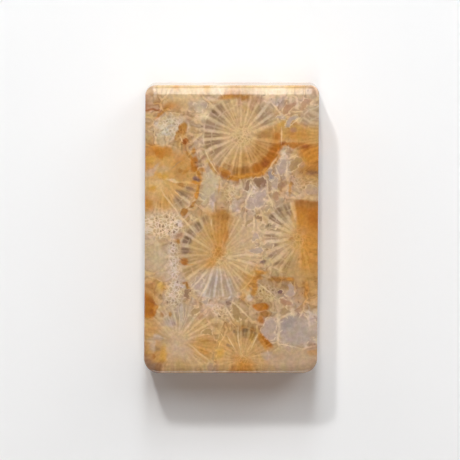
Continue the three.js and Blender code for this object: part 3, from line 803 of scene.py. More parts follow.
# Where the stone is filled solid, with few walls
CLEAR = (
    Oval(-0.5, 17.7, 12.0, 0.6, 0, 0.75, 0.4, 3.0),
    Oval(8.6, -12.9, 2.4, 1.8, 10, 0.9, 0.3, 6.0),
    Oval(8.0, -16.6, 4.2, 1.8, 0, 0.9, 0.4, 6.0),
    Oval(-9.4, -3.4, 2.2, 1.2, 90, 0.85, 0.5, 6.0),
    Oval(-2.7, 5.6, 1.8, 0.9, 80, 0.8, 0.5, 5.0),
    Oval(4.8, -12.6, 1.3, 0.8, 80, 0.8, 0.4, 4.0),
    Oval(-6.9, -15.2, 2.6, 2.2, 90, 0.92, 0.5, 4.0),
    Oval(-9.0, -12.6, 1.6, 1.4, 0, 0.6, 0.6, 4.0),
    Oval(3.5, 4.1, 1.3, 0.8, 80, 0.7, 0.4, 4.0),
    Oval(-10.2, -9.2, 2.0, 0.7, 92, 0.8, 0.4, 4.0),
    Oval(-3.7, 15.5, 0.9, 0.7, 0, 0.8, 0.4, 3.0),
    Oval(7.6, 13.9, 1.3, 0.4, 44, 0.9, 0.4, 3.0),
    Oval(7.3, 15.4, 1.2, 0.5, 45, 0.8, 0.4, 3.0),
    Oval(-6.0, 16.3, 3.0, 1.0, 0, 0.7, 0.5, 3.0),
    Oval(-8.6, 9.6, 2.2, 1.0, 0, 0.8, 0.5, 4.0),
    Oval(-8.5, 7.4, 3.4, 2.9, 20, 0.92, 0.45, 4.0),
    Oval(-10.0, 4.6, 1.6, 1.4, 0, 0.8, 0.5, 4.0),
    Oval(-9.4, -15.6, 1.8, 1.6, 60, 0.8, 0.6, 4.0),
    Oval(-6.2, -17.0, 2.4, 1.2, 0, 0.6, 0.6, 4.0),
    Oval(9.8, 1.2, 2.6, 1.6, 90, 0.7, 0.5, 5.0),
    Oval(8.2, 12.2, 1.8, 1.1, 0, 0.6, 0.5, 4.0),
    Oval(8.4, -5.4, 1.8, 1.2, 0, 0.6, 0.5, 4.0),
    Oval(1.8, -0.8, 2.4, 2.0, 60, 0.55, 0.6, 4.0),
)


@dataclass(frozen=True)
class Change:
    """A smooth change of level while some value crosses a range.

    The range runs from start to end, and start may lie above end. The level goes from low to high.
    """

    start: float
    end: float
    low: float = 0.0
    high: float = 1.0


class Wiring:
    """Adds shader nodes to one material's tree and joins them up."""

    def __init__(self, tree: bpy.types.NodeTree) -> None:
        """Starts on a node tree."""
        self.tree = tree

    def add(self, kind: str, inputs: dict[int | str, object] | None = None,
            **settings: object) -> bpy.types.Node:
        """Adds one node.

        Args:
            kind: The node's type name, without its leading "ShaderNode".
            inputs: What goes into each input, by its number or name: a socket or a plain value.
            **settings: The node's own options.

        Returns:
            The new node.
        """
        node = self.tree.nodes.new("ShaderNode" + kind)
        for name, value in settings.items():
            setattr(node, name, value)
        for key, value in (inputs or {}).items():
            if isinstance(value, bpy.types.NodeSocket):
                self.tree.links.new(value, node.inputs[key])
            else:
                node.inputs[key].default_value = value
        return node

    def number(self, operation: str, *values: Value) -> Socket:
        """Works out a number.

        Args:
            operation: The Math node's operation.
            *values: Its inputs in order.

        Returns:
            The result.
        """
        return self.add("Math", dict(enumerate(values)), operation=operation).outputs[0]

    def product(self, first: Value, *others: Value) -> Value:
        """Multiplies several numbers, from left to right."""
        for other in others:
            first = self.number("MULTIPLY", first, other)
        return first

    def largest(self, first: Value, *others: Value) -> Value:
        """Gives the largest of several numbers."""
        for other in others:
            first = self.number("MAXIMUM", first, other)
        return first

    def apart(self, one: Value, other: Value) -> Socket:
        """Gives how far apart two numbers are."""
        return self.number("ABSOLUTE", self.number("SUBTRACT", one, other))

    def rest(self, share: Value) -> Socket:
        """Gives what a share leaves of the whole."""
        return self.number("SUBTRACT", 1.0, share)

    def vector(self, operation: str, *values: Socket | Triple) -> Socket:
        """Works out a vector.

        Args:
            operation: The Vector Math node's operation.
            *values: Its vector inputs in order.

        Returns:
            The result.
        """
        return self.add("VectorMath", dict(enumerate(values)), operation=operation).outputs[0]

    def scaled(self, vector: Socket, factor: Value) -> Socket:
        """Gives a vector times a number."""
        return self.add("VectorMath", {0: vector, "Scale": factor}, operation="SCALE").outputs[0]

    def length(self, vector: Socket) -> Socket:
        """Gives the length of a vector."""
        return self.add("VectorMath", {0: vector}, operation="LENGTH").outputs[1]

    def split(self, vector: Socket) -> tuple[Socket, Socket, Socket]:
        """Gives the three parts of a vector."""
        parts = self.add("SeparateXYZ", {0: vector}).outputs
        return parts[0], parts[1], parts[2]

    def join(self, x: Value, y: Value, z: Value) -> Socket:
        """Gives the vector with the three parts given."""
        return self.add("CombineXYZ", {0: x, 1: y, 2: z}).outputs[0]

    def centred(self, colour: Socket) -> Socket:
        """Turns the parts of a random colour into shifts both ways, up to a half."""
        return self.vector("SUBTRACT", colour, (0.5, 0.5, 0.5))

    def ease(self, value: Value, start: Value, end: Value,
             low: Value = 0.0, high: Value = 1.0) -> Socket:
        """Moves smoothly from one level to another while a value crosses a range.

        Args:
            value: The value that is watched.
            start: Where the change starts, which may lie above its end.
            end: Where the change is complete.
            low: The level at the start.
            high: The level at the end.

        Returns:
            The level.
        """
        node = self.add("MapRange", {0: value, 1: start, 2: end, 3: low, 4: high},
                        interpolation_type="SMOOTHSTEP", clamp=False)
        return node.outputs[0]

    def follow(self, value: Value, change: Change) -> Socket:
        """Gives the level that a value reaches in a stated change."""
        return self.ease(value, change.start, change.end, change.low, change.high)

    def blend(self, amount: Value, under: object, over: object, mode: str = "MIX") -> Socket:
        """Lays one colour over another.

        Args:
            amount: How much of the upper colour shows.
            under: The lower colour, as a socket or a value.
            over: The upper colour, in the same way.
            mode: How the two are combined.

        Returns:
            The colour.
        """
        node = self.add("Mix", {0: amount, 6: under, 7: over}, data_type="RGBA", blend_type=mode)
        return node.outputs[2]

    def blend_vector(self, amount: Value, under: object, over: object) -> Socket:
        """Moves from one vector to another by an amount from 0 to 1."""
        node = self.add("Mix", {0: amount, 4: under, 5: over}, data_type="VECTOR")
        return node.outputs[1]

    def blend_number(self, amount: Value, under: Value, over: Value) -> Socket:
        """Moves from one number to another by an amount from 0 to 1."""
        return self.add("Mix", {0: amount, 2: under, 3: over}, data_type="FLOAT").outputs[0]

    def clouds(self, point: Socket, scale: float = 1.0,
               detail: float = 1.0) -> tuple[Socket, Socket]:
        """Makes soft random clouds.

        Args:
            point: Where it is read.
            scale: How many clouds there are in a unit.
            detail: How many finer layers are added.

        Returns:
            Its grey value and its colour, both about 0.5 on average.
        """
        node = self.add("TexNoise", {"Vector": point, "Scale": scale, "Detail": detail})
        return node.outputs[0], node.outputs[1]

    def drift(self, point: Socket, scale: float = 1.0, detail: float = 1.0) -> Socket:
        """Makes soft random shifts in all three directions, with clouds() of the same terms."""
        return self.centred(self.clouds(point, scale, detail)[1])

    def cells(self, point: Socket, scale: float, feature: str,
              randomness: float = 1.0) -> bpy.types.Node:
        """Makes random closed cells.

        Args:
            point: Where they are read.
            scale: How many cells there are in a unit.
            feature: What is measured, such as the distance to the nearest wall.
            randomness: How irregular they are.

        Returns:
            The node, with the outputs Distance and Color.
        """
        return self.add("TexVoronoi", {"Vector": point, "Scale": scale, "Randomness": randomness},
                        feature=feature)


class CoralPattern:
    """The pattern that runs through the whole stone, as shader nodes.

    Each method adds one layer. Places are in millimetres, measured from the middle of the face.
    Distances inside a cup are parts of the way from its heart to its rim, and random values run
    from 0 to 1.
    """

    # The flat face, and heights clear of the stone below and above
    FACE_HEIGHT = 8.0
    FLAT_ACROSS = 9.95
    FLAT_ALONG = 17.1
    CLEAR_BELOW = -1.0
    CLEAR_ABOVE = 9.0
    # How much of its own way the pattern still goes beyond the flat face
    EDGE_STRETCH = 0.35

    # How the pattern sways: the slow and the fine clouds, and their shares in cups and filling
    SLOW_SWAY = (0.34, 0.34, 0.16)
    FINE_SWAY = (1.7, 1.7, 0.45)
    CUP_SWAY = (0.3, 0.1)
    FILLING_SWAY = (0.6, 0.22)
    STONE_LEAN = (0.10, 0.07, 0.0)

    # A distance beyond every cup, the walls, number and spacing that hold before one is found,
    # and how close the numbers of two cups have to be to be the same
    BEYOND_CUPS = 9.0
    NO_CUP = (20.0, 0.0, 1.0)
    SAME_NUMBER = 0.5

    # Sway of a cup's walls: its clouds round the cup and down the stone, and its size in cells
    SWAY_ROUND = 1.6
    SWAY_DOWN = 0.08
    WALL_SWAY = 0.5
    # How finely the walls are broken, across them, along them and from cup to cup
    DASHES = (0.9, 6.0, 5.0)

    # Half the width of a cup's walls: at the heart, its growth to the rim, its variety, and what
    # the stout walls of the right cup have more
    WALL_AT_HEART = 0.04
    WALL_GROWTH = 0.06
    WALL_VARIETY = 0.05
    STOUT_EXTRA = 0.07
    WALL_FADE_OUT = 0.12
    WALL_FADE_IN = 0.06
    FAINTEST_WALL = 0.4
    DASHES_IN_WALL = Change(0.25, 0.6, 0.5, 1.0)
    WALL_PAST_RIM = Change(1.15, 0.98)
    WALL_FROM_HEART = Change(0.1, 0.4, 0.25, 1.0)

    # Thinner walls that split some cells, each from its own distance outwards
    SPLIT_START = 0.25
    SPLIT_VARIETY = 0.5
    SPLIT_FADE = 0.15
    SPLIT_STRENGTH = 0.4
    SPLIT_WIDTH = Change(0.15, 0.03)
    DASHES_IN_SPLIT = Change(0.3, 0.55, 0.3, 1.0)
    SPLIT_PAST_RIM = Change(1.1, 0.96)

    # Thin cross walls that close some cells short of the rim
    CROSS_PLACE = 0.68
    CROSS_VARIETY = 0.16
    CROSS_WIDTH = Change(0.035, 0.005)
    DASHES_IN_CROSS = Change(0.4, 0.6, 0.0, 0.6)

    # Broken dark lines beside the walls, and the filling of the cells
    LINE_WIDTH = Change(0.13, 0.03)
    DASHES_IN_LINE = Change(0.47, 0.36)
    LINE_FROM_HEART = Change(0.3, 0.5, 0.0, 0.55)
    FILLING_FADE = 0.2
    PALEST_CELL = 0.5
    INSIDE_CUP = Change(1.05, 0.95)

    # The broken wall round each cup, and the seam between two cups
    RIM_PLACE = 0.95
    RIM_WANDER = 0.1
    RIM_WIDTH = Change(0.04, 0.008)
    RIM_STRENGTH = Change(0.42, 0.6, 0.15, 0.9)
    SEAM_WIDTH = Change(0.035, 0.01, 0.0, 0.7)

    # The cells between the cups
    RING_CELLS = 2.4
    CELLS_OUTWARDS = 1.7
    CELLS_DOWN = 0.25
    FILLING_SCALE = 0.85
    FILLING_ORDER = 0.9
    INNER_SHARE = 0.1
    BEAD_WIDTH = Change(0.3, 0.7, 0.08, 0.3)
    BEAD_BREAKS = Change(0.3, 0.6, 0.2, 1.0)
    REGION_STRENGTH = Change(0.4, 0.6, 0.5, 1.0)
    OUTSIDE_CUP = Change(0.93, 1.06)
    HOLLOW_OUTER = Change(0.28, 0.12, 0.0, 0.5)
    HOLLOW_INNER = Change(0.05, 0.12)
    MOTTLE = Change(0.35, 0.65)
    CELL_TINT = Change(0.02, 0.26, 0.1, 0.95)

    # The sponge
    SPONGE_SCALE = 2.3
    SPONGE_BEND = (0.5, 0.5, 0.2)
    SPONGE_WALL = Change(0.2, 0.05, 0.0, 1.3)
    SPONGY_HEART = Change(0.42, 0.12, 0.0, 0.55)
    PIT_WIDTH = Change(0.5, 0.12)
    PIT_CHANCE = Change(0.3, 0.8)
    STRAY_PIT_CHANCE = Change(0.78, 0.9, 0.0, 0.8)

    # The closed cells: how wide their pale walls are, how far in those are strongest, as a part of
    # that width, how clear, ragged and angular the cells are, and how broken their walls
    CELL_WALL = 0.24
    CELL_CREST = 1 / 3
    CELL_CLEARNESS = 0.9
    CELL_RAGGED = (1.7, 1.7, 0.5)
    CELL_ANGLES = (0.3, 0.3, 0.0)
    CELL_BEADS = Change(0.38, 0.62, 0.05, 0.95)

    # How far apart the cups' unrolled rings are kept, and how ragged the marks on them are
    RING_SPACING = 3.0
    RING_STEPS = (0.08, 0.10, 0.0)
    RING_RAGGED = (0.12, 0.10, 0.0)
    # How ragged the borders of stains and of hazes are, and how far they follow the cells
    STAIN_RAGGED = 0.45
    HAZE_RAGGED = 0.8
    STAIN_STEPS = (0.2, 0.2, 0.0)

    # Chance stains below the face, and iron in thin seams
    BURIED = Change(-0.8, -3.5)
    BURIED_SPREAD = (0.28, 0.28, 0.16)
    BURIED_IRON = Change(0.5, 0.62, 0.0, 0.9)
    BURIED_GREY = Change(0.46, 0.36, 0.0, 0.8)
    IRON_BESIDE = Change(0.24, 0.1)
    IRON_RIM = 1.02
    IRON_AT_RIM = Change(0.07, 0.02)
    IRON_REGION = Change(0.5, 0.6, 0.0, 0.35)

    # How the ground's colour drifts, how it is lit in pale walls and darkened in hollows
    HUE_DRIFT = (0.16, 0.22, 0.36)
    HUE_LEAST = (0.885, 0.855, 0.785)
    WALL_TINT = (1.32, 1.47, 1.70, 1.0)
    WALL_SHARE = 0.8
    THREAD_CREAM = 0.6
    THREAD_SHARE = 0.82
    SHADE_TINT = (0.52, 0.47, 0.49, 1.0)
    SHADE_POWER = 1.3
    GRAIN = Change(0.25, 0.75, 0.9, 1.1)

    # The colours that the cells between the cups take, by chance
    CELL_COLOURS = (
        (0.0, BEIGE),
        (0.24, LAVENDER),
        (0.42, GREENISH_CREAM),
        (0.58, PALE_LAVENDER),
        (0.72, OLIVE_TAN),
        (0.84, CHALCEDONY),
        (0.92, PINK_BROWN),
    )

    def __init__(self, wiring: Wiring) -> None:
        """Lays out the points that the layers read."""
        self.wiring = wiring
        self.raw_point = self.place_in_millimetres()
        self.point = self.drawn_over_edge()
        self.depth = self.height_over_face()
        self.lean_depth = wiring.join(self.depth, self.depth, 0.0)
        self.warp_point()

    def place_in_millimetres(self) -> Socket:
        """Gives the place in the stone, in millimetres."""
        raw = self.wiring.add("TexCoord").outputs["Object"]
        return self.wiring.scaled(raw, 1 / MM)

    def drawn_over_edge(self) -> Socket:
        """Gives the place, with the pattern of the flat face drawn out over the rounded edge."""
        w = self.wiring
        least = (-self.FLAT_ACROSS, -self.FLAT_ALONG, self.CLEAR_BELOW)
        most = (self.FLAT_ACROSS, self.FLAT_ALONG, self.CLEAR_ABOVE)
        inside = w.vector("MINIMUM", w.vector("MAXIMUM", self.raw_point, least), most)
        beyond = w.vector("SUBTRACT", self.raw_point, inside)
        stretch = (self.EDGE_STRETCH, self.EDGE_STRETCH, 1.0)
        return w.vector("MULTIPLY_ADD", beyond, stretch, inside)

    def height_over_face(self) -> Socket:
        """Gives the height above the face, which is negative inside the stone."""
        height = self.wiring.split(self.point)[2]
        return self.wiring.number("SUBTRACT", height, self.FACE_HEIGHT)

    def warp_point(self) -> None:
        """Shifts the place a little, so that nothing in the pattern runs dead straight."""
        w = self.wiring
        slow = w.drift(w.vector("MULTIPLY", self.point, self.SLOW_SWAY))
        fine = w.drift(w.vector("MULTIPLY", self.point, self.FINE_SWAY), detail=1.5)
        leaning = w.vector("MULTIPLY_ADD", self.lean_depth, self.STONE_LEAN, self.point)
        swayed = []
        for slow_share, fine_share in (self.CUP_SWAY, self.FILLING_SWAY):
            calm = w.vector("ADD", leaning, w.scaled(slow, slow_share))
            swayed.append(w.vector("ADD", calm, w.scaled(fine, fine_share)))
        self.cup_point, self.warped = swayed

    def nearest_cup(self) -> None:
        """Finds the cup that each place belongs to.

        It keeps the place inside that cup, with its rim at a length of 1, the gap to the next cup,
        and the cup's own numbers: how many walls, its place in the list and its wall spacing.
        """
        w = self.wiring
        best: Value = self.BEYOND_CUPS
        second: Value = self.BEYOND_CUPS
        local: object = (0.0, 0.0, 0.0)
        facts: object = self.NO_CUP
        for number, cup in enumerate(CUPS):
            spread = (1 / cup.half_width, 1 / cup.half_length, 0.0)
            offset = (-cup.across / cup.half_width, -cup.along / cup.half_length, 0.0)
            leaning = w.vector("MULTIPLY_ADD", self.lean_depth, (*cup.lean, 0.0), self.cup_point)
            inside = w.vector("MULTIPLY_ADD", leaning, spread, offset)
            radius = w.length(inside)
            nearer = w.number("LESS_THAN", radius, best)
            second = w.number("MINIMUM", second, w.largest(best, radius))
            best = w.number("MINIMUM", best, radius)
            local = w.blend_vector(nearer, local, inside)
            facts = w.blend_vector(nearer, facts, (cup.wall_count(), number, cup.rim_spacing()))
        self.cup_local = local
        self.cup_radius = best
        self.cup_gap = w.number("SUBTRACT", second, best)
        self.wall_count, self.cup_number, self.rim_spacing = w.split(facts)
        self.outward = w.vector("NORMALIZE", self.cup_local)

    def counted(self, turn: Socket, cup: Cup) -> Socket:
        """Counts a cup's stated walls, so that each whole number is one wall.

        Args:
            turn: The direction from the cup's middle, as a place from 0 to 1.
            cup: The cup.

        Returns:
            The count.
        """
        turns = cup.wall_turns()
        steps = len(turns) + 1
        first = -turns[0] / (turns[0] + 1 - turns[-1])
        node = self.wiring.add("FloatCurve", {"Value": turn})
        points = node.mapping.curves[0].points
        for number, place in enumerate(turns, start=1):
            points.new(place, number / steps)
        points[0].location = (0.0, (first + 1) / steps)
        points[len(points) - 1].location = (1.0, (first + steps) / steps)
        for point in points:
            point.handle_type = "VECTOR"
        node.mapping.update()
        return self.wiring.number("MULTIPLY_ADD", node.outputs[0], steps, -1.0)

    def wall_position(self) -> Socket:
        """Counts the walls round the nearest cup, with a little sway."""
        w = self.wiring
        x, y, _ = w.split(self.cup_local)
        self.direction = w.number("ARCTAN2", y, x)
        turn = w.number("MULTIPLY_ADD", self.direction, 1 / math.tau, 0.5)
        position = w.product(turn, self.wall_count)
        for number, cup in enumerate(CUPS):
            if cup.has_stated_walls():
                here = w.number("COMPARE", self.cup_number, number, self.SAME_NUMBER)
                position = w.blend_number(here, position, self.counted(turn, cup))
        down = w.number("MULTIPLY_ADD", self.depth, self.SWAY_DOWN, self.cup_radius)
        seed = w.join(self.cup_number, self.cup_number, down)
        around = w.vector("ADD", w.scaled(self.outward, self.SWAY_ROUND), seed)
        sway = w.number("SUBTRACT", w.clouds(around)[0], 0.5)
        return w.number("MULTIPLY_ADD", sway, self.WALL_SWAY, position)

    def dealt(self, index: Socket) -> tuple[Socket, Socket]:
        """Deals a random number and a random colour to a wall or cell of the nearest cup.

        Args:
            index: The number of the wall or cell, counted round the cup.

        Returns:
            The number and the colour.
        """
        w = self.wiring
        wrapped = w.number("FLOORED_MODULO", index, self.wall_count)
        seed = w.join(wrapped, self.cup_number, 0.0)
        outputs = w.add("TexWhiteNoise", {"Vector": seed}, noise_dimensions="2D").outputs
        return outputs[0], outputs[1]

    def cup_walls(self) -> None:
        """Draws the fine walls that run out from each cup's heart, and the cells between them."""
        w = self.wiring
        radius = self.cup_radius
        position = self.wall_position()
        index = w.number("FLOOR", position)
        place = w.number("SUBTRACT", position, index)
        cell_chance, self.cell_colour = self.dealt(index)
        wall_chance = self.dealt(w.number("ROUND", position))[0]
        unrolled = w.vector("MULTIPLY", w.join(position, radius, self.cup_number), self.DASHES)
        dashes = w.clouds(unrolled, detail=2.0)[0]

        # Distances in millimetres across one cell, from its walls, its middle and its quarters
        off_middle = w.apart(place, 0.5)
        width = w.product(radius, self.rim_spacing)
        wall_gap = w.product(w.number("SUBTRACT", 0.5, off_middle), width)
        middle_gap = w.product(off_middle, width)
        quarter_gap = w.product(w.apart(off_middle, 0.25), width)

        half_wide = w.number("MULTIPLY_ADD", radius, self.WALL_GROWTH, self.WALL_AT_HEART)
        half_wide = w.number("MULTIPLY_ADD", wall_chance, self.WALL_VARIETY, half_wide)
        stout = w.number("COMPARE", self.cup_number, RIGHT, self.SAME_NUMBER)
        half_wide = w.number("MULTIPLY_ADD", stout, self.STOUT_EXTRA, half_wide)
        outer = w.number("ADD", half_wide, self.WALL_FADE_OUT)
        inner = w.number("SUBTRACT", half_wide, self.WALL_FADE_IN)
        strength = w.number("MULTIPLY_ADD", wall_chance, 1 - self.FAINTEST_WALL, self.FAINTEST_WALL)
        main = w.product(
            w.ease(wall_gap, outer, inner),
            strength,
            w.follow(dashes, self.DASHES_IN_WALL),
            w.follow(radius, self.WALL_PAST_RIM),
            w.follow(radius, self.WALL_FROM_HEART),
        )

        start = w.number("MULTIPLY_ADD", cell_chance, self.SPLIT_VARIETY, self.SPLIT_START)
        complete = w.number("ADD", start, self.SPLIT_FADE)
        thin = w.product(
            w.follow(middle_gap, self.SPLIT_WIDTH),
            w.ease(radius, start, complete, 0.0, self.SPLIT_STRENGTH),
            w.follow(dashes, self.DASHES_IN_SPLIT),
            w.follow(radius, self.SPLIT_PAST_RIM),
        )

        cross_place = w.number("MULTIPLY_ADD", cell_chance, self.CROSS_VARIETY, self.CROSS_PLACE)
        cross = w.product(
            w.follow(w.apart(radius, cross_place), self.CROSS_WIDTH),
            w.follow(dashes, self.DASHES_IN_CROSS),
        )
        self.cup_wall = w.largest(main, thin, cross)

        inside = w.follow(radius, self.INSIDE_CUP)
        self.cup_line = w.product(
            w.follow(quarter_gap, self.LINE_WIDTH),
            w.follow(dashes, self.DASHES_IN_LINE),
            w.follow(radius, self.LINE_FROM_HEART),
            inside,
        )
        self.cup_filling = w.product(
            w.ease(wall_gap, half_wide, w.number("ADD", half_wide, self.FILLING_FADE)),
            w.rest(self.cup_wall),
            inside,
        )
        spread = 1 - self.PALEST_CELL
        self.cell_depth = w.number("MULTIPLY_ADD", cell_chance, spread, self.PALEST_CELL)

    def rim_wall(self) -> None:
        """Draws the broken wall round each cup and the seam where two cups meet."""
        w = self.wiring
        patchy = w.clouds(self.warped, scale=1.1)[0]
        wander = w.number("MULTIPLY_ADD", patchy, self.RIM_WANDER, self.RIM_PLACE)
        rim = w.follow(w.apart(self.cup_radius, wander), self.RIM_WIDTH)
        strength = w.follow(patchy, self.RIM_STRENGTH)
        seam = w.follow(self.cup_gap, self.SEAM_WIDTH)
        self.rim = w.product(w.largest(rim, seam), strength)

    def filling_cells(self) -> None:
        """Draws the larger cells between the cups, drawn out away from the nearest cup."""
        w = self.wiring
        outwards = w.number("MULTIPLY_ADD", self.cup_radius, self.CELLS_OUTWARDS, self.RING_CELLS)
        ring_place = w.scaled(self.outward, outwards)
        seed = w.join(self.cup_number, self.cup_number, w.product(self.depth, self.CELLS_DOWN))
        wander = w.drift(self.warped, scale=0.7, detail=1.3)
        cell_place = w.vector("ADD", w.vector("ADD", ring_place, seed), wander)
        edges = w.cells(cell_place, self.FILLING_SCALE, "DISTANCE_TO_EDGE", self.FILLING_ORDER)
        self.filling_depth = edges.outputs["Distance"]
        middles = w.cells(cell_place, self.FILLING_SCALE, "F1", self.FILLING_ORDER)
        self.filling_colour = middles.outputs["Color"]
        beads = w.clouds(self.warped, scale=1.7, detail=2.0)[0]
        wide = w.follow(beads, self.BEAD_WIDTH)
        self.region = w.clouds(self.warped, scale=0.5)[0]
        self.filling_wall = w.product(
            w.ease(self.filling_depth, wide, w.product(wide, self.INNER_SHARE)),
            w.follow(beads, self.BEAD_BREAKS),
            w.follow(self.region, self.REGION_STRENGTH),
        )
        self.outside_cup = w.follow(self.cup_radius, self.OUTSIDE_CUP)

    def sponge_cells(self) -> None:
        """Draws the fine sponge and its dark pits."""
        w = self.wiring
        bend = w.clouds(self.warped, scale=2.2)[1]
        bent = w.vector("MULTIPLY_ADD", bend, self.SPONGE_BEND, self.warped)
        edges = w.cells(bent, self.SPONGE_SCALE, "DISTANCE_TO_EDGE")
        self.sponge_wall = w.follow(edges.outputs["Distance"], self.SPONGE_WALL)
        pits = w.cells(bent, self.SPONGE_SCALE, "F1")
        chance = w.split(pits.outputs["Color"])[0]
        core = w.follow(pits.outputs["Distance"], self.PIT_WIDTH)
        self.sponge_pit = w.product(core, w.follow(chance, self.PIT_CHANCE))
        self.stray_pit = w.product(core, w.follow(chance, self.STRAY_PIT_CHANCE))

    def nearness(self, place: Oval, height: float, point: Socket) -> tuple[Socket, float]:
        """Measures how near a point lies to an oval's middle.

        Args:
            place: The oval.
            height: Where its middle lies along Z.
            point: Where it is read.

        Returns:
            The nearness, which falls from 1 in the middle to 0 where the oval has faded out, and
            the nearness at which it starts to fade.
        """
        reach = 1.0 + place.edge / 2
        mapped = self.wiring.add("Mapping", {
            "Vector": point,
            "Location": (place.across, place.along, height),
            "Rotation": (0.0, 0.0, math.radians(place.turn)),
            "Scale": (place.half_long * reach, place.half_wide * reach, place.depth),
        }, vector_type="TEXTURE").outputs[0]
        ball = self.wiring.add("TexGradient", {0: mapped}, gradient_type="SPHERICAL")
        return ball.outputs["Fac"], 1 - (1 - place.edge) / reach

    def on_face(self, places: Iterable[Oval]) -> list[tuple[Oval, float]]:
        """Gives each place on the face with its height."""
        return [(place, self.FACE_HEIGHT) for place in places]

    def on_ring(self, mark: RingStain) -> list[tuple[Oval, float]]:
        """Gives each place of a mark on its unrolled ring, with the height of that ring."""
        return [(place, mark.cup * self.RING_SPACING) for place in mark.places()]

    def most_cover(self, places: list[tuple[Oval, float]], point: Socket) -> Socket:
        """Measures the most that any of several places covers a point.

        Args:
            places: The ovals, each with its height.
            point: Where they are read.

        Returns:
            The largest cover.
        """
        most: Value = 0.0
        for place, height in places:
            near, full = self.nearness(place, height, point)
            most = self.wiring.largest(most, self.wiring.ease(near, 0.0, full, 0.0, place.strength))
        return most

    def unrolled_ring(self) -> Socket:
        """Gives the place as a direction, a distance and a height that tells the cups apart."""
        w = self.wiring
        height = w.product(self.cup_number, self.RING_SPACING)
        flat = w.join(self.direction, self.cup_radius, height)
        ragged = w.drift(self.warped, scale=1.6, detail=2.0)
        stepped = w.vector("MULTIPLY", w.centred(self.cell_colour), self.RING_STEPS)
        shifted = w.vector("ADD", flat, stepped)
        return w.vector("ADD", shifted, w.vector("MULTIPLY", ragged, self.RING_RAGGED))

    def dark_cells(self) -> Socket:
        """Measures how dark the filling between a cup's walls is."""
        places = [pair for mark in DARK_CELLS for pair in self.on_ring(mark)]
        return self.wiring.product(self.most_cover(places, self.ring_point), self.cell_depth)

    def closed_cells(self) -> tuple[Socket, Socket]:
        """Draws the walls of the closed cells.

        Returns:
            How clear the stone is inside them, and how strong their walls are.
        """
        w = self.wiring
        ragged = w.drift(self.warped, scale=0.95, detail=2.5)
        bent = w.vector("MULTIPLY_ADD", ragged, self.CELL_RAGGED, self.warped)
        angles = w.centred(self.filling_colour)
        self.cell_place = w.vector("MULTIPLY_ADD", angles, self.CELL_ANGLES, bent)
        clear: Value = 0.0
        walls: Value = 0.0
        for place in [mark.place for mark in STAINS if mark.walled]:
            near, full = self.nearness(place, self.FACE_HEIGHT, self.cell_place)
            inner = min(full, self.CELL_WALL / place.half_wide)
            crest = inner * self.CELL_CREST
            wall = w.product(w.ease(near, 0.0, crest), w.ease(near, inner, crest))
            walls = w.largest(walls, wall)
            clear = w.largest(clear, w.ease(near, 0.0, full, 0.0, self.CELL_CLEARNESS))
        beads = w.follow(w.clouds(self.warped, scale=1.9)[0], self.CELL_BEADS)
        return clear, w.product(walls, beads)

    def structure(self) -> None:
        """Combines all the walls into one, and all the dark lines, cells and pits into one."""
        w = self.wiring
        self.ring_point = self.unrolled_ring()
        sponge = self.most_cover(self.on_face(SPONGE), self.warped)
        sponge = w.largest(sponge, w.follow(self.cup_radius, self.SPONGY_HEART))
        clear, cell_walls = self.closed_cells()
        clear = w.largest(clear, self.most_cover(self.on_face(CLEAR), self.warped))
        wall = w.largest(self.cup_wall, w.product(self.filling_wall, self.outside_cup), self.rim)
        wall = w.blend_number(sponge, wall, self.sponge_wall)
        unfilled = w.rest(clear)
        self.open_share = w.product(unfilled, w.rest(sponge))
        self.wall = w.product(wall, unfilled)
        veins = self.on_face(vein.place() for vein in VEINS)
        self.threads = w.largest(self.most_cover(veins, self.warped), cell_walls)

        hollow = w.product(w.follow(self.filling_depth, self.HOLLOW_OUTER),
                           w.follow(self.filling_depth, self.HOLLOW_INNER))
        hollow = w.largest(hollow, self.stray_pit)
        dark = w.largest(
            w.product(self.dark_cells(), self.cup_filling),
            self.cup_line,
            w.product(hollow, self.outside_cup),
        )
        dark = w.blend_number(sponge, dark, self.sponge_pit)
        self.shade = w.product(dark, unfilled, w.rest(self.threads))
        self.chance = w.blend_vector(self.outside_cup, self.cell_colour, self.filling_colour)

    def ground(self) -> Socket:
        """Gives the stone's colour before any stain, with cells tinted each in their own way."""
        w = self.wiring
        mottle = w.follow(w.clouds(self.warped, scale=0.6, detail=2.5)[0], self.MOTTLE)
        base = w.blend(mottle, TAN.rgba(), BEIGE.rgba())
        ramp = w.add("ValToRGB", {0: w.split(self.filling_colour)[0]})
        elements = ramp.color_ramp.elements
        elements.remove(elements[-1])
        elements[0].color = self.CELL_COLOURS[0][1].rgba()
        for position, pigment in self.CELL_COLOURS[1:]:
            elements.new(position).color = pigment.rgba()
        tint = w.follow(self.filling_depth, self.CELL_TINT)
        return w.blend(w.product(tint, self.outside_cup), base, ramp.outputs[0])

    def stain_layers(self) -> tuple[Socket, Socket]:
        """Gathers every stain, and the painted highlight along the far edge, with borders that
        follow the cells.

        Returns:
            The colour that the stains add, already weighted by their strength, and the share of
            the stone's own colour that still shows.
        """
        w = self.wiring
        ragged = w.drift(self.warped, scale=1.4, detail=3.0)
        by_cell = w.centred(self.chance)
        point = w.vector("ADD", self.warped, w.scaled(ragged, self.STAIN_RAGGED))
        point = w.vector("ADD", point, w.vector("MULTIPLY", by_cell, self.STAIN_STEPS))
        loose = w.vector("ADD", point, w.scaled(ragged, self.HAZE_RAGGED))

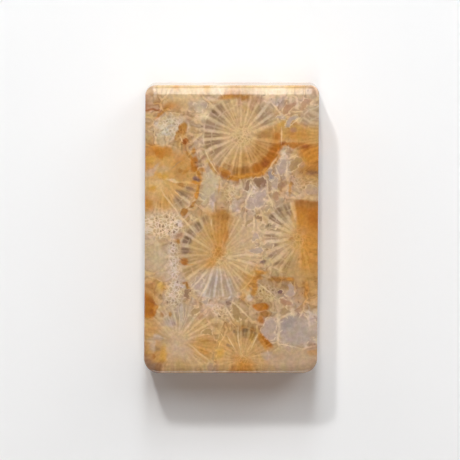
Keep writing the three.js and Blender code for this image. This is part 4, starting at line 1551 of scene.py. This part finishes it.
        # Hazes lie lowest, then the stains on the cups' rings, then the small stains and cells
        marks = [(mark.pigment, mark.place, self.FACE_HEIGHT, loose)
                 for mark in STAINS if mark.is_haze()]
        marks += [(mark.pigment, *pair, self.ring_point)
                  for mark in RING_STAINS for pair in self.on_ring(mark)]
        for mark in STAINS:
            if not mark.is_haze():
                where = self.cell_place if mark.walled else point
                marks.append((mark.pigment, mark.place, self.FACE_HEIGHT, where))
        pigment: object = BLACK
        bare: Value = 1.0
        for colour, place, height, where in marks:
            near, full = self.nearness(place, height, where)
            untouched = w.ease(near, 0.0, full, 1.0, 1.0 - place.strength)
            pigment = w.blend(untouched, colour.rgba(), pigment)
            bare = w.product(bare, untouched)
        return pigment, bare

    def stained(self, colour: Socket, pigment: Socket, bare: Socket) -> Socket:
        """Lays the gathered stains over a colour.

        Args:
            colour: The colour before staining.
            pigment: The weighted colour of the stains.
            bare: The share of the stone that they leave as it was.

        Returns:
            The stained colour.
        """
        kept = self.wiring.blend(bare, BLACK, colour)
        return self.wiring.blend(1.0, kept, pigment, "ADD")

    def buried_stains(self, colour: Socket) -> Socket:
        """Stains the stone below the face by chance, where no placed mark reaches.

        Args:
            colour: The stone's colour before these stains.

        Returns:
            The stained colour.
        """
        w = self.wiring
        below = w.follow(self.depth, self.BURIED)
        broad = w.vector("MULTIPLY", self.warped, self.BURIED_SPREAD)
        iron, tint = w.clouds(broad, detail=2.0)
        warm = w.blend(w.split(tint)[0], OCHRE.rgba(), DEEP_ORANGE.rgba())
        colour = w.blend(w.product(w.follow(iron, self.BURIED_IRON), below), colour, warm)
        grey = w.product(w.follow(iron, self.BURIED_GREY), below)
        return w.blend(grey, colour, LAVENDER.rgba())

    def iron_seams(self, colour: Socket) -> Socket:
        """Lets iron run in thin seams beside the walls, in some regions only.

        Args:
            colour: The stone's colour before the seams.

        Returns:
            The colour with seams.
        """
        w = self.wiring
        beside = w.product(w.follow(self.filling_depth, self.IRON_BESIDE), self.outside_cup)
        at_rim = w.follow(w.apart(self.cup_radius, self.IRON_RIM), self.IRON_AT_RIM)
        region = w.follow(self.region, self.IRON_REGION)
        seam = w.product(w.largest(beside, at_rim), region, self.open_share)
        return w.blend(seam, colour, BROWN_OCHRE.rgba())

    def colour(self) -> Socket:
        """Gives the finished colour of the stone."""
        w = self.wiring
        pigment, bare = self.stain_layers()
        ground = self.stained(self.buried_stains(self.ground()), pigment, bare)
        ground = self.iron_seams(ground)
        tints = w.clouds(self.warped, scale=1.2, detail=2.0)[1]
        hue = w.vector("MULTIPLY_ADD", tints, self.HUE_DRIFT, self.HUE_LEAST)
        ground = w.blend(1.0, ground, hue, "MULTIPLY")
        lit = w.blend(1.0, ground, self.WALL_TINT, "MULTIPLY")
        stone = w.blend(w.product(self.wall, self.WALL_SHARE), ground, lit)
        pale = w.blend(self.THREAD_CREAM, lit, CREAM.rgba())
        stone = w.blend(w.product(self.threads, self.THREAD_SHARE), stone, pale)
        shade = w.number("POWER", self.shade, self.SHADE_POWER)
        stone = w.blend(shade, stone, self.SHADE_TINT, "MULTIPLY")
        speck = w.follow(w.clouds(self.raw_point, scale=2.8, detail=3.0)[0], self.GRAIN)
        return w.blend(1.0, stone, w.join(speck, speck, speck), "MULTIPLY")

    def run_through(self) -> Socket:
        """Adds every layer in order and gives the finished colour."""
        self.nearest_cup()
        self.cup_walls()
        self.rim_wall()
        self.filling_cells()
        self.sponge_cells()
        self.structure()
        return self.colour()


def start_material(name: str) -> tuple[bpy.types.Material, bpy.types.Node, Wiring]:
    """Starts a material made of nodes.

    Args:
        name: Its name.

    Returns:
        The material, its shader, and the wiring of its other nodes.
    """
    material = bpy.data.materials.new(name)
    material.use_nodes = True
    tree = material.node_tree
    return material, tree.nodes["Principled BSDF"], Wiring(tree)


def add_object(name: str, data: bpy.types.ID) -> bpy.types.Object:
    """Adds one object to the scene and gives it."""
    item = bpy.data.objects.new(name, data)
    bpy.context.scene.collection.objects.link(item)
    return item


def finish_mesh(name: str, builder: bmesh.types.BMesh,
                material: bpy.types.Material) -> bpy.types.Object:
    """Turns a finished mesh into an object of the scene.

    Args:
        name: The name of the object.
        builder: The mesh, which is freed.
        material: What it is made of.

    Returns:
        The object.
    """
    mesh = bpy.data.meshes.new(name)
    builder.to_mesh(mesh)
    builder.free()
    mesh.materials.append(material)
    return add_object(name, mesh)


@dataclass(frozen=True)
class PolishedStone:
    """The finish: hard stone with a high polish, a little uneven.

    The relief is the height of the polish's faint ripples, in millimetres.
    """

    name: str = "polished_coral_agate"
    gloss: float = 0.05
    gloss_wear: float = 0.04
    refraction: float = 1.54
    relief: float = 0.004

    def make(self) -> bpy.types.Material:
        """Builds the material.

        Returns:
            The finished material.
        """
        material, shader, wiring = start_material(self.name)
        pattern = CoralPattern(wiring)
        links = material.node_tree.links
        links.new(pattern.run_through(), shader.inputs["Base Color"])
        shader.inputs["IOR"].default_value = self.refraction
        smears = wiring.clouds(pattern.point, scale=0.7, detail=3.0)[0]
        wear = Change(start=0.3, end=0.7, low=self.gloss, high=self.gloss + self.gloss_wear)
        rough = wiring.follow(smears, wear)
        links.new(rough, shader.inputs["Roughness"])
        # The ripples of the polish have nothing to do with the pattern and read none of it
        ripples = wiring.clouds(pattern.place_in_millimetres(), scale=1.3, detail=3.0)[0]
        heights = {"Height": ripples, "Distance": self.relief * MM, "Strength": 1.0}
        bump = wiring.add("Bump", heights)
        links.new(bump.outputs[0], shader.inputs["Normal"])
        return material


@dataclass(frozen=True)
class WhiteBoard:
    """The finish of the pale floor, with a very faint unevenness."""

    name: str = "white_board"
    darker: tuple[float, float, float, float] = (0.90, 0.90, 0.90, 1.0)
    paler: tuple[float, float, float, float] = (0.93, 0.93, 0.925, 1.0)
    roughness: float = 0.9
    sheen: float = 0.1

    def make(self) -> bpy.types.Material:
        """Builds the material.

        Returns:
            The finished material.
        """
        material, shader, wiring = start_material(self.name)
        place = wiring.add("TexCoord").outputs["Object"]
        mist = wiring.clouds(place, scale=9.0, detail=2.0)[0]
        tint = wiring.blend(mist, self.darker, self.paler)
        material.node_tree.links.new(tint, shader.inputs["Base Color"])
        shader.inputs["Roughness"].default_value = self.roughness
        shader.inputs["Specular IOR Level"].default_value = self.sheen
        return material


@dataclass
class Slab:
    """The stone itself: stacked rings round the outline, the same form as the solid.

    All sizes are in millimetres. The long sides lean, so the far end stands a little further
    along +X than the near end.
    """

    length: float = 36.5
    thickness: float = 8.0
    far_width: float = 21.9
    near_width: float = 21.95
    lean: float = 0.22
    near_corner: float = 1.9
    far_right_corner: float = 1.15
    far_left_corner: float = 1.3
    # The edge of the face is part of an ellipse: its half width, its half height, and how many
    # degrees of its quarter are there before the flat face cuts it off
    face_reach: float = 1.7
    face_drop: float = 0.64
    face_turn: float = 70.0
    back_edge: float = 0.9
    # The fineness of the mesh: steps along a long side, and how many times more than along an end
    corner_steps: int = 24
    side_step: float = 0.6
    end_share: float = 1.6
    edge_steps: int = 14
    face_rings: int = 18
    wall_steps: int = 10
    # What hand polishing took off at most, how closely that changes, and how little of it is
    # taken upwards or downwards. The place of the changes is a fixed one.
    hand_wobble: float = 0.02
    wobble_scale: float = 0.22
    wobble_lift: float = 0.15
    wobble_place: Triple = (3.1, 7.7, 1.3)
    finish: PolishedStone = field(default_factory=PolishedStone)

    def corners(self) -> list[tuple[Vector, float]]:
        """Gives where the straight sides would meet, anticlockwise, each with its rounding."""
        near = -self.lean / 2
        far = self.lean / 2
        end = self.length / 2
        return [
            (Vector((near - self.near_width / 2, -end)), self.near_corner),
            (Vector((near + self.near_width / 2, -end)), self.near_corner),
            (Vector((far + self.far_width / 2, end)), self.far_right_corner),
            (Vector((far - self.far_width / 2, end)), self.far_left_corner),
        ]

    def corner_arc(self, index: int, inset: float) -> list[Vector]:
        """Draws the arc of one corner.

        Args:
            index: Which corner.
            inset: How far inside the widest outline it runs.

        Returns:
            Its points, anticlockwise.
        """
        corners = self.corners()
        point, radius = corners[index]
        arriving = (point - corners[index - 1][0]).normalized()
        leaving = (corners[(index + 1) % len(corners)][0] - point).normalized()
        start = math.atan2(-arriving.x, arriving.y)
        end = math.atan2(-leaving.x, leaving.y)
        if end < start:
            end += math.tau
        reach = radius / math.cos((end - start) / 2)
        outward = (start + end) / 2
        centre = point - reach * Vector((math.cos(outward), math.sin(outward)))
        arc = []
        for step in range(self.corner_steps + 1):
            angle = start + (end - start) * step / self.corner_steps
            arc.append(centre + (radius - inset) * Vector((math.cos(angle), math.sin(angle))))
        return arc

    def outline(self, inset: float) -> list[Vector]:
        """Draws the outline.

        Args:
            inset: How far inside the widest outline it runs.

        Returns:
            Its points, anticlockwise: each corner's arc, then steps along the side that follows,
            which is an end after the first and the third corner.
        """
        arcs = [self.corner_arc(index, inset) for index in range(len(self.corners()))]
        points: list[Vector] = []
        for index, arc in enumerate(arcs):
            points.extend(arc)
            following = arcs[(index + 1) % len(arcs)][0]
            steps = round(self.length / self.side_step / (1 if index % 2 else self.end_share))
            for step in range(1, steps):
                points.append(arc[-1].lerp(following, step / steps))
        return points

    def profile(self) -> list[tuple[float, float]]:
        """Gives how far in and how high each ring of the side lies, from the back to the face."""
        rings = []
        for step in range(self.edge_steps + 1):
            angle = math.pi / 2 * step / self.edge_steps
            inset = self.back_edge * (1 - math.sin(angle))
            rings.append((inset, self.back_edge * (1 - math.cos(angle))))
        low = self.back_edge
        turn = math.radians(self.face_turn)
        high = self.thickness - self.face_drop * math.sin(turn)
        for step in range(1, self.wall_steps):
            rings.append((0.0, low + (high - low) * step / self.wall_steps))
        for step in range(self.edge_steps + 1):
            angle = turn * step / self.edge_steps
            inset = self.face_reach * (1 - math.cos(angle))
            rings.append((inset, high + self.face_drop * math.sin(angle)))
        return rings

    def levels(self) -> list[tuple[float, float, float]]:
        """Gives every ring, from near the middle of the back round to near that of the face.

        Returns:
            How far in each ring's outline is drawn, its height, and its size as a share of that
            outline.
        """
        profile = self.profile()
        shares = [share / self.face_rings for share in range(1, self.face_rings)]
        back = [(profile[0][0], 0.0, share) for share in shares]
        face = [(profile[-1][0], self.thickness, 1 - share) for share in shares]
        return back + [(inset, height, 1.0) for inset, height in profile] + face

    def wobble(self, point: Vector) -> Vector:
        """Moves a point inwards by a hair, as hand polishing does, except on the flat back.

        Args:
            point: The point, in millimetres.

        Returns:
            The moved point, which never lies outside the true form.
        """
        if point.z < self.hand_wobble / 2:
            return point
        middle = Vector((0.0, 0.0, self.thickness / 2))
        place = point * self.wobble_scale + Vector(self.wobble_place)
        amount = 0.5 + 0.5 * noise.noise(place)
        inward = middle - point
        inward.z *= self.wobble_lift
        return point + inward.normalized() * self.hand_wobble * amount

    def build_skin(self, builder: bmesh.types.BMesh) -> list[list[bmesh.types.BMVert]]:
        """Builds the rings and the faces between them.

        Args:
            builder: The mesh to build in.

        Returns:
            The rings, from the back to the face.
        """
        widest = self.outline(0.0)
        middle = Vector((
            (min(point.x for point in widest) + max(point.x for point in widest)) / 2,
            (min(point.y for point in widest) + max(point.y for point in widest)) / 2,
        ))
        rings = []
        for inset, height, share in self.levels():
            ring = []
            for point in self.outline(inset):
                flat = (point - middle) * share
                place = self.wobble(Vector((flat.x, flat.y, height)))
                ring.append(builder.verts.new(place * MM))
            rings.append(ring)
        for lower, upper in zip(rings, rings[1:]):
            for index in range(len(lower)):
                following = (index + 1) % len(lower)
                builder.faces.new((lower[index], lower[following], upper[following], upper[index]))
        return rings

    def close_middle(self, builder: bmesh.types.BMesh, ring: list[bmesh.types.BMVert],
                     height: float, downwards: bool) -> None:
        """Closes the last ring of the back or the face with a fan round its middle.

        Args:
            builder: The mesh to build in.
            ring: The ring.
            height: Its height.
            downwards: Whether the fan looks down.
        """
        hub = builder.verts.new(Vector((0.0, 0.0, height)) * MM)
        for index, vertex in enumerate(ring):
            following = ring[(index + 1) % len(ring)]
            pair = (following, vertex) if downwards else (vertex, following)
            builder.faces.new((hub, *pair))

    def build(self) -> bpy.types.Object:
        """Builds the stone's mesh and dresses it.

        Returns:
            The stone.
        """
        builder = bmesh.new()
        rings = self.build_skin(builder)
        self.close_middle(builder, rings[0], 0.0, downwards=True)
        self.close_middle(builder, rings[-1], self.thickness, downwards=False)
        for face in builder.faces:
            face.smooth = True
        # The rim of the flat face is the only crisp edge
        rim = set(rings[-self.face_rings])
        for edge in builder.edges:
            edge.smooth = not rim.issuperset(edge.verts)
        stone = finish_mesh("coral_slab", builder, self.finish.make())
        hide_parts(SLAB_NODE)
        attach(stone, "root")
        return stone


class Seen(Enum):
    """What a lamp's light does: it lights surfaces, shines back from polish, or both."""

    BOTH = (True, True)
    AS_LIGHT = (True, False)
    AS_SHEEN = (False, True)


@dataclass(frozen=True)
class Lamp:
    """One soft box, seen from the stone.

    The bearing is in degrees from +Y towards +X. The box stands upright to it and spans the
    elevations from low to high, also in degrees, which may go on past the zenith. Its distance and
    width are in metres.
    """

    name: str
    bearing: float
    low: float
    high: float
    width: float
    brightness: float
    seen: Seen = Seen.BOTH
    tint: Triple = (1.0, 1.0, 1.0)
    distance: float = 0.5

    def height(self) -> float:
        """Gives its height in metres."""
        return 2 * self.distance * math.tan(math.radians(self.high - self.low) / 2)

    def towards(self) -> Vector:
        """Gives the direction of its middle."""
        elevation = math.radians(self.low + self.high) / 2
        bearing = math.radians(self.bearing)
        level = math.cos(elevation)
        return Vector((level * math.sin(bearing), level * math.cos(bearing), math.sin(elevation)))

    def power(self) -> float:
        """Gives the power in watts that makes its surface as bright as stated."""
        return self.brightness * math.pi * self.width * self.height()


# A warm light from the near side, and cooler windows that balance it
WARM = (1.0, 0.62, 0.42)
COOL = (0.95, 1.0, 1.04)

LAMPS = (
    Lamp("key", -18.5, 42.0, 46.6, 0.04, 172.0),
    Lamp("window", 0.0, 28.0, 72.0, 0.06, 9.2, Seen.AS_LIGHT, COOL),
    Lamp("window_sill", 0.0, 28.0, 50.0, 0.06, 5.0, Seen.AS_LIGHT, COOL),
    Lamp("window_right", 7.0, 28.0, 50.0, 0.06, 8.5, Seen.AS_LIGHT, COOL),
    Lamp("window_left", -6.0, 28.0, 72.0, 0.05, 4.5, Seen.AS_LIGHT, COOL),
    Lamp("overhead", 0.0, 92.0, 112.0, 0.05, 10.0, Seen.AS_LIGHT),
    Lamp("near_side", 0.0, 120.0, 150.0, 0.05, 5.0, Seen.AS_LIGHT, WARM),
    Lamp("near_sheen", 180.0, 4.0, 26.0, 0.5, 2.6, Seen.AS_SHEEN),
    Lamp("right_wall", 45.0, 16.0, 34.0, 0.2, 4.1, Seen.AS_LIGHT),
    Lamp("right_upper", 45.0, 42.0, 58.0, 0.2, 2.8, Seen.AS_LIGHT),
    Lamp("left_wall", -45.0, 16.0, 34.0, 0.2, 2.6, Seen.AS_LIGHT),
    Lamp("sheen", 0.0, 40.0, 82.0, 0.3, 4.7, Seen.AS_SHEEN),
)


@dataclass
class Studio:
    """The plain pale floor, the soft light and the camera. Lengths are in metres."""

    floor_half_side: float = 0.6
    floor_drop: float = 0.00002
    view_height: float = 0.55
    view_tilt: float = 5.0
    frame_width: float = 0.05803
    sensor_width: float = 36.0
    nearest_view: float = 0.01
    aim: Triple = (-0.00017, 0.0, 0.008)
    # How bright the sky is, and the pale wall all round below the given height on its dome
    sky: float = 0.015
    wall: float = 0.8
    wall_height: float = 0.2
    finish: WhiteBoard = field(default_factory=WhiteBoard)

    def build_floor(self) -> bpy.types.Object:
        """Builds the floor.

        Returns:
            The floor.
        """
        half = self.floor_half_side
        builder = bmesh.new()
        corners = [(-half, -half), (half, -half), (half, half), (-half, half)]
        builder.faces.new([builder.verts.new((x, y, -self.floor_drop)) for x, y in corners])
        floor = finish_mesh("floor", builder, self.finish.make())
        return floor

    def build_camera(self) -> bpy.types.Object:
        """Builds the long-lens camera, almost straight above and leaning to the far end.

        Returns:
            The camera.
        """
        data = bpy.data.cameras.new("camera")
        data.sensor_width = self.sensor_width
        data.lens = self.sensor_width * self.view_height / self.frame_width
        data.clip_start = self.nearest_view
        camera = add_object("camera", data)
        tilt = math.radians(self.view_tilt)
        away = Vector((0.0, math.sin(tilt), math.cos(tilt)))
        camera.location = Vector(self.aim) + away * self.view_height
        camera.rotation_euler = (-tilt, 0.0, 0.0)
        bpy.context.scene.camera = camera
        return camera

    def add_lamp(self, lamp: Lamp) -> bpy.types.Object:
        """Hangs one soft box so that it faces the stone.

        Args:
            lamp: The soft box.

        Returns:
            The lamp.
        """
        data = bpy.data.lights.new(lamp.name, "AREA")
        data.shape = "RECTANGLE"
        data.size = lamp.width
        data.size_y = lamp.height()
        data.energy = lamp.power()
        data.color = lamp.tint
        box = add_object(lamp.name, data)
        box.visible_diffuse, box.visible_glossy = lamp.seen.value
        away = lamp.towards()
        box.location = Vector(self.aim) + away * lamp.distance
        box.rotation_euler = away.to_track_quat("Z", "Y").to_euler()
        return box

    def light(self) -> None:
        """Sets up the light: a dim sky over a pale wall all round, and the soft boxes."""
        world = bpy.data.worlds.new("sky")
        world.use_nodes = True
        background = world.node_tree.nodes["Background"]
        background.inputs["Color"].default_value = (1.0, 1.0, 1.0, 1.0)
        wiring = Wiring(world.node_tree)
        height = wiring.split(wiring.add("TexCoord").outputs["Generated"])[2]
        glow = wiring.ease(height, self.wall_height, self.wall_height / 2, self.sky, self.wall)
        world.node_tree.links.new(glow, background.inputs["Strength"])
        bpy.context.scene.world = world
        for lamp in LAMPS:
            self.add_lamp(lamp)
        bpy.context.scene.view_settings.view_transform = "Standard"


def report_sizes() -> None:
    """Brings the placements of the scene up to date."""
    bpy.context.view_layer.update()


def main() -> None:
    """Builds the camera and the floor, then the stone, and reports each."""
    logging.basicConfig(level=logging.INFO, format="%(name)s: %(message)s")
    studio = Studio()
    LOG.info("camera %s", studio.build_camera().name)
    LOG.info("stage %s", studio.build_floor().name)
    studio.light()
    stone = Slab().build()
    LOG.info("piece %s with %d faces", stone.name, len(stone.data.polygons))
    report_sizes()


if __name__ == "__main__":
    main()
